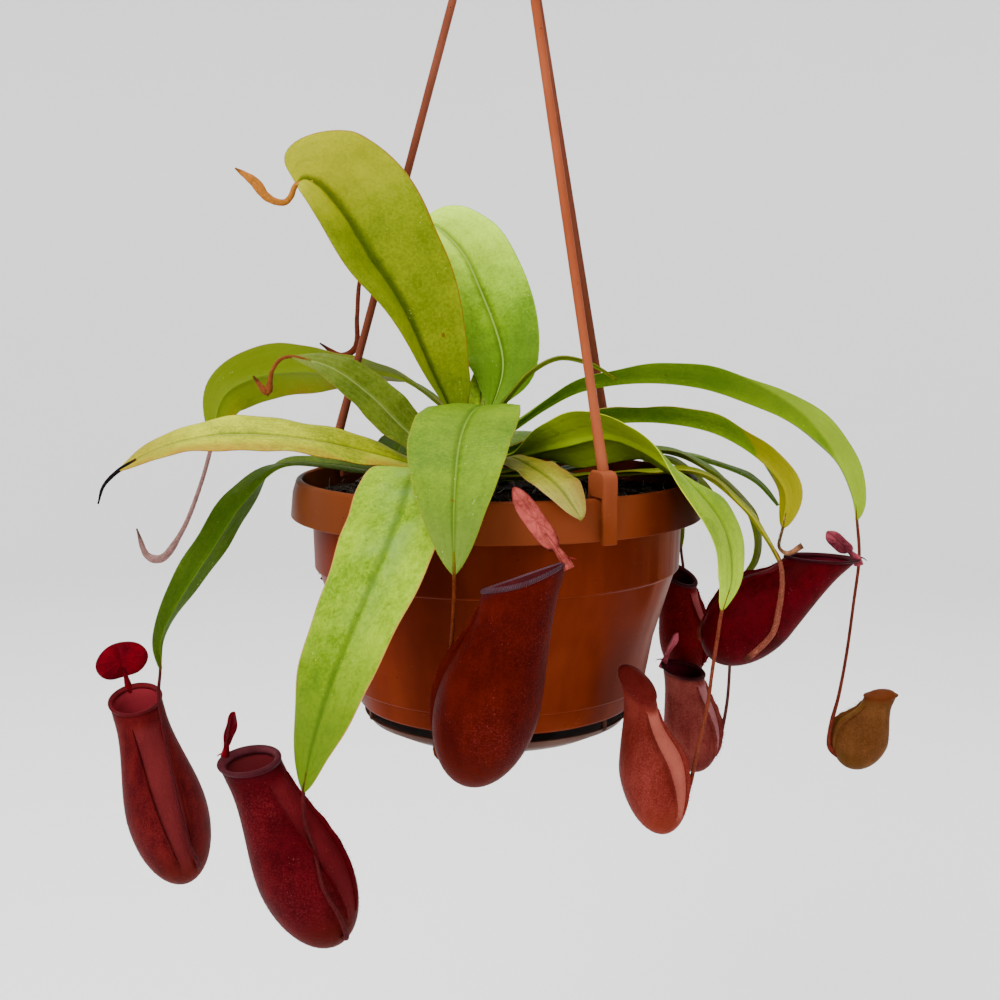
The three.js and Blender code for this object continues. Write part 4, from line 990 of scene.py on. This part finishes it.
def addDrains(bm):
    # Fills the floor's two faces around the drain holes and joins each hole's edges through it
    rims = []
    for level in (pot["outside"][0][1], pot["inside"][-1][1]):
        ring = [e for e in bm.edges if e.is_boundary and all(abs(v.co.z - level) < 1e-3 for v in e.verts)]
        holes = []
        for i in range(pot["drains"]):
            seat = Matrix.Translation(outward(360 * i / pot["drains"]) * pot["drainCircle"] + upright(level))
            made = bmesh.ops.create_circle(bm, cap_ends=False, segments=28, radius=pot["drain"], matrix=seat)
            holes.append(list({e for v in made["verts"] for e in v.link_edges}))
        edges = ring + [e for hole in holes for e in hole]
        bmesh.ops.triangle_fill(bm, use_beauty=True, use_dissolve=False, edges=edges)
        rims.append(holes)
    for lower, upper in zip(*rims):
        bmesh.ops.bridge_loops(bm, edges=lower + upper)


def makePot():
    bm = spun(pot["outside"] + pot["inside"], pot["steps"])
    addDrains(bm)
    makePlastic("pot", bm, pot)


def makeSaucer():
    bm = spun(saucer["profile"], pot["steps"])
    for i in range(saucer["posts"]):
        turn = Matrix.Rotation(2 * pi * (i + 0.35) / saucer["posts"], 4, "Z")
        seat = turn @ Matrix.Translation(saucer["postPlace"]) @ Matrix.Diagonal((*saucer["post"], 1))
        bmesh.ops.create_cube(bm, size=1, matrix=seat)
    makePlastic("saucer", bm, saucer)


def soilTop(reach):
    return soil["top"] - soil["dish"] * (reach / soil["edge"]) ** 3


def makeSoil():
    surface = [(reach, soilTop(reach) - 0.4) for reach in range(66, 0, -3)]
    bm = spun([*soil["profile"], *surface, (0, soil["top"])], 96)
    for vert in bm.verts:  # an uneven top
        if vert.co.z > soil["top"] - 2.5:
            vert.co.z += vary(-0.5, 0.4)
    for _ in range(soil["clods"]):  # bark and clods that lie on it
        reach, angle = 69 * sqrt(chance.random()), vary(0, 2 * pi)
        size = vary(0.5, 1.7)
        sides = Matrix.Diagonal((size * vary(0.7, 2), size, size * vary(0.3, 0.6), 1))
        turn = Matrix.Rotation(vary(0, 6), 4, "Z") @ Matrix.Rotation(vary(-0.4, 0.4), 4, "X")
        spot = Matrix.Translation(polar(reach, angle, soilTop(reach) + 0.1))
        made = bmesh.ops.create_icosphere(bm, subdivisions=1, radius=1, matrix=spot @ turn @ sides)["verts"]
        for vert in made:
            vert.co += jitter(0.25) * size
        tone = chance.choice((0, 0, 1, 1, 2))
        for face in {face for vert in made for face in vert.link_faces}:
            face.material_index = tone
    for _ in range(soil["fibres"]):  # pale moss fibres
        reach, angle = 67 * sqrt(chance.random()), vary(0, 2 * pi)
        dots = [polar(reach, angle, soil["top"] - 1)]
        step = Vector((vary(-1, 1), vary(-1, 1), vary(0.1, 0.8))).normalized()
        for _ in range(3):
            step = strayed(step, 0.6)
            dots.append(dots[-1] + step * vary(1, 3.2))
        for dot in dots:  # kept inside the pot and near the surface
            flat = min(1, 68 / max(1, Vector(dot.xy).length))
            dot.x, dot.y, dot.z = dot.x * flat, dot.y * flat, min(-2, max(-7, dot.z))
        addTube(bm, Route(dots, 4), [0.14, 0.16, 0.06], 6, 3, 3)
    paints = [paintSoil("soil", (14, 10, 8), (44, 32, 24)), paintSoil("bark", (24, 15, 10), (62, 42, 28)),
              paintSoil("grit", (44, 36, 28), (90, 78, 62)), paintHair("moss", (128, 124, 112), (74, 68, 56))]
    makePiece("soil", bm, paints, 40)


def addClip(bm, heading):
    turn = Matrix.Rotation(radians(heading - 90), 4, "Z")
    near = -hanger["clipWidth"] / 2
    dots = [bm.verts.new(turn @ Vector((reach, near, height))) for reach, height in hanger["clip"]]
    grown = bmesh.ops.extrude_face_region(bm, geom=[bm.faces.new(dots)])["geom"]
    moved = [item for item in grown if isinstance(item, bmesh.types.BMVert)]
    bmesh.ops.translate(bm, verts=moved, vec=turn @ Vector((0, hanger["clipWidth"], 0)))


def makeHanger():
    bm = bmesh.new()
    apex = Vector((hanger["lean"], 0, hanger["apex"]))
    reach, height = hanger["foot"]
    for heading in hanger["arms"]:
        foot = outward(heading) * reach + upright(height)
        addTube(bm, Route([foot, foot.lerp(apex, 0.5), apex]), hanger["rod"], 60, 20, 0, 0.012)
        addClip(bm, heading)
    neck = Route([apex - upright(12), apex, apex + upright(hanger["neck"])])
    addTube(bm, neck, hanger["neckRadii"], 20, 24)
    centre = apex + upright(hanger["neck"] + hanger["hook"] - 0.5)
    bend = []
    for share in shares(24):
        angle = radians(-90 + hanger["hookTurn"] * share)
        bend.append(centre + Vector((cos(angle), 0, sin(angle))) * hanger["hook"])
    addTube(bm, Route(bend, 4), [hanger["hookRod"]] * 2, 60, 20)
    makePlastic("hanger", bm, hanger)


def makeCrown():
    # The stem, ringed with the scars and dry sheaths of older leaves
    rows = [(0, crownCentre + upright(stem["low"]))]
    for share in shares(stem["rows"]):
        height = mixed(stem["low"], stem["high"], share)
        ring = []
        for angle in turns(stem["sides"]):
            ridge = 0.25 * sin(height * 1.3 + angle) + 0.15 * sin(7 * angle + height * 0.3)
            radius = stem["radius"] * (1 - 0.35 * smooth(10, 24, height)) * (1 - 0.85 * smooth(18, 27, height))
            radius += ridge if -6 < height < 24 else 0
            ring.append(crownCentre + polar(radius, angle, height))
        rows.append((share, ring))
    bm = bmesh.new()
    wrap(bm, [*rows, (1, crownCentre + upright(stem["tip"]))])
    makePiece("crown", bm, [paintStem()])


# Building

marginHair = paintHair("margin", (170, 160, 90), (110, 106, 40))
furHair = paintHair("fur", (104, 34, 30), (50, 8, 10))

makePot()
makeSaucer()
makeSoil()
makeHanger()
makeCrown()
print("pot, saucer, soil, hanger and stem made")

for number, (name, leaf) in enumerate(leaves.items()):
    makeLeaf(name, {**leafDefaults, **leaf}, number * 1.7)
print("leaves made")

for name, pitcher in pitchers.items():
    makePitcher(name, {**pitcherDefaults, **pitcher})
for name, tendril in tendrils.items():
    makeTendril(name, {**tendrilDefaults, **tendril})
print("pitchers and tendrils made")


# Stage, in metres: a plain pale floor that sweeps up all round, soft light and the photo's camera

stage = dict(
    floor=-0.62, flat=1.7, bend=0.7, wall=0.9, aim=(0, 0, -0.25), daylight=0.5,
    lights=dict(
        key=dict(spot=(-0.75, -1.1, 0.75), size=0.9, power=34, tint=(1, 0.985, 0.96)),
        fill=dict(spot=(1.2, -0.9, 0.2), size=1.2, power=5, tint=(0.96, 0.98, 1)),
        top=dict(spot=(-0.1, 0.3, 1.3), size=1.3, power=44, tint=(1, 1, 1))),
    camera=dict(spot=(-0.0019, -0.509, -0.2131), tilt=82, lens=50.4, sensor=36))


def makeStage():
    floor, flat, bend = stage["floor"], stage["flat"], stage["bend"]
    profile = [(0, floor)]
    for share in shares(12):
        angle = pi / 2 * share
        profile.append((flat + bend * sin(angle), floor + bend * (1 - cos(angle))))
    bm = spun([*profile, (flat + bend, floor + bend + stage["wall"])], 96)
    paint = Paint("floor", 0.1, {})
    cloud = paint.noise(3, 2)
    paint.finish(paint.blend(cloud, (246, 246, 246), (250, 250, 250)), 0.9, cloud, 0.01)
    makeObject("floor", bm, [paint])


def addLight(name, spot, size, power, tint):
    data = bpy.data.lights.new(name, "AREA")
    data.shape = "SQUARE"
    data.size = size
    data.energy = power
    data.color = tint
    light = linked(name, data)
    light.location = spot
    light.rotation_euler = (Vector(stage["aim"]) - Vector(spot)).to_track_quat("-Z", "Y").to_euler()


def addCamera(spot, tilt, lens, sensor):
    camera = linked("camera", bpy.data.cameras.new("camera"))
    camera.data.lens = lens
    camera.data.sensor_width = sensor
    camera.data.clip_start = 0.01
    camera.location = spot
    camera.rotation_euler = (radians(tilt), 0, 0)
    bpy.context.scene.camera = camera


makeStage()
for name, light in stage["lights"].items():
    addLight(name, **light)
addCamera(**stage["camera"])

world = bpy.data.worlds.new("daylight")
world.use_nodes = True
background = world.node_tree.nodes["Background"]
background.inputs["Color"].default_value = (1, 1, 1, 1)
background.inputs["Strength"].default_value = stage["daylight"]
bpy.context.scene.world = world
print("stage, light and camera made")
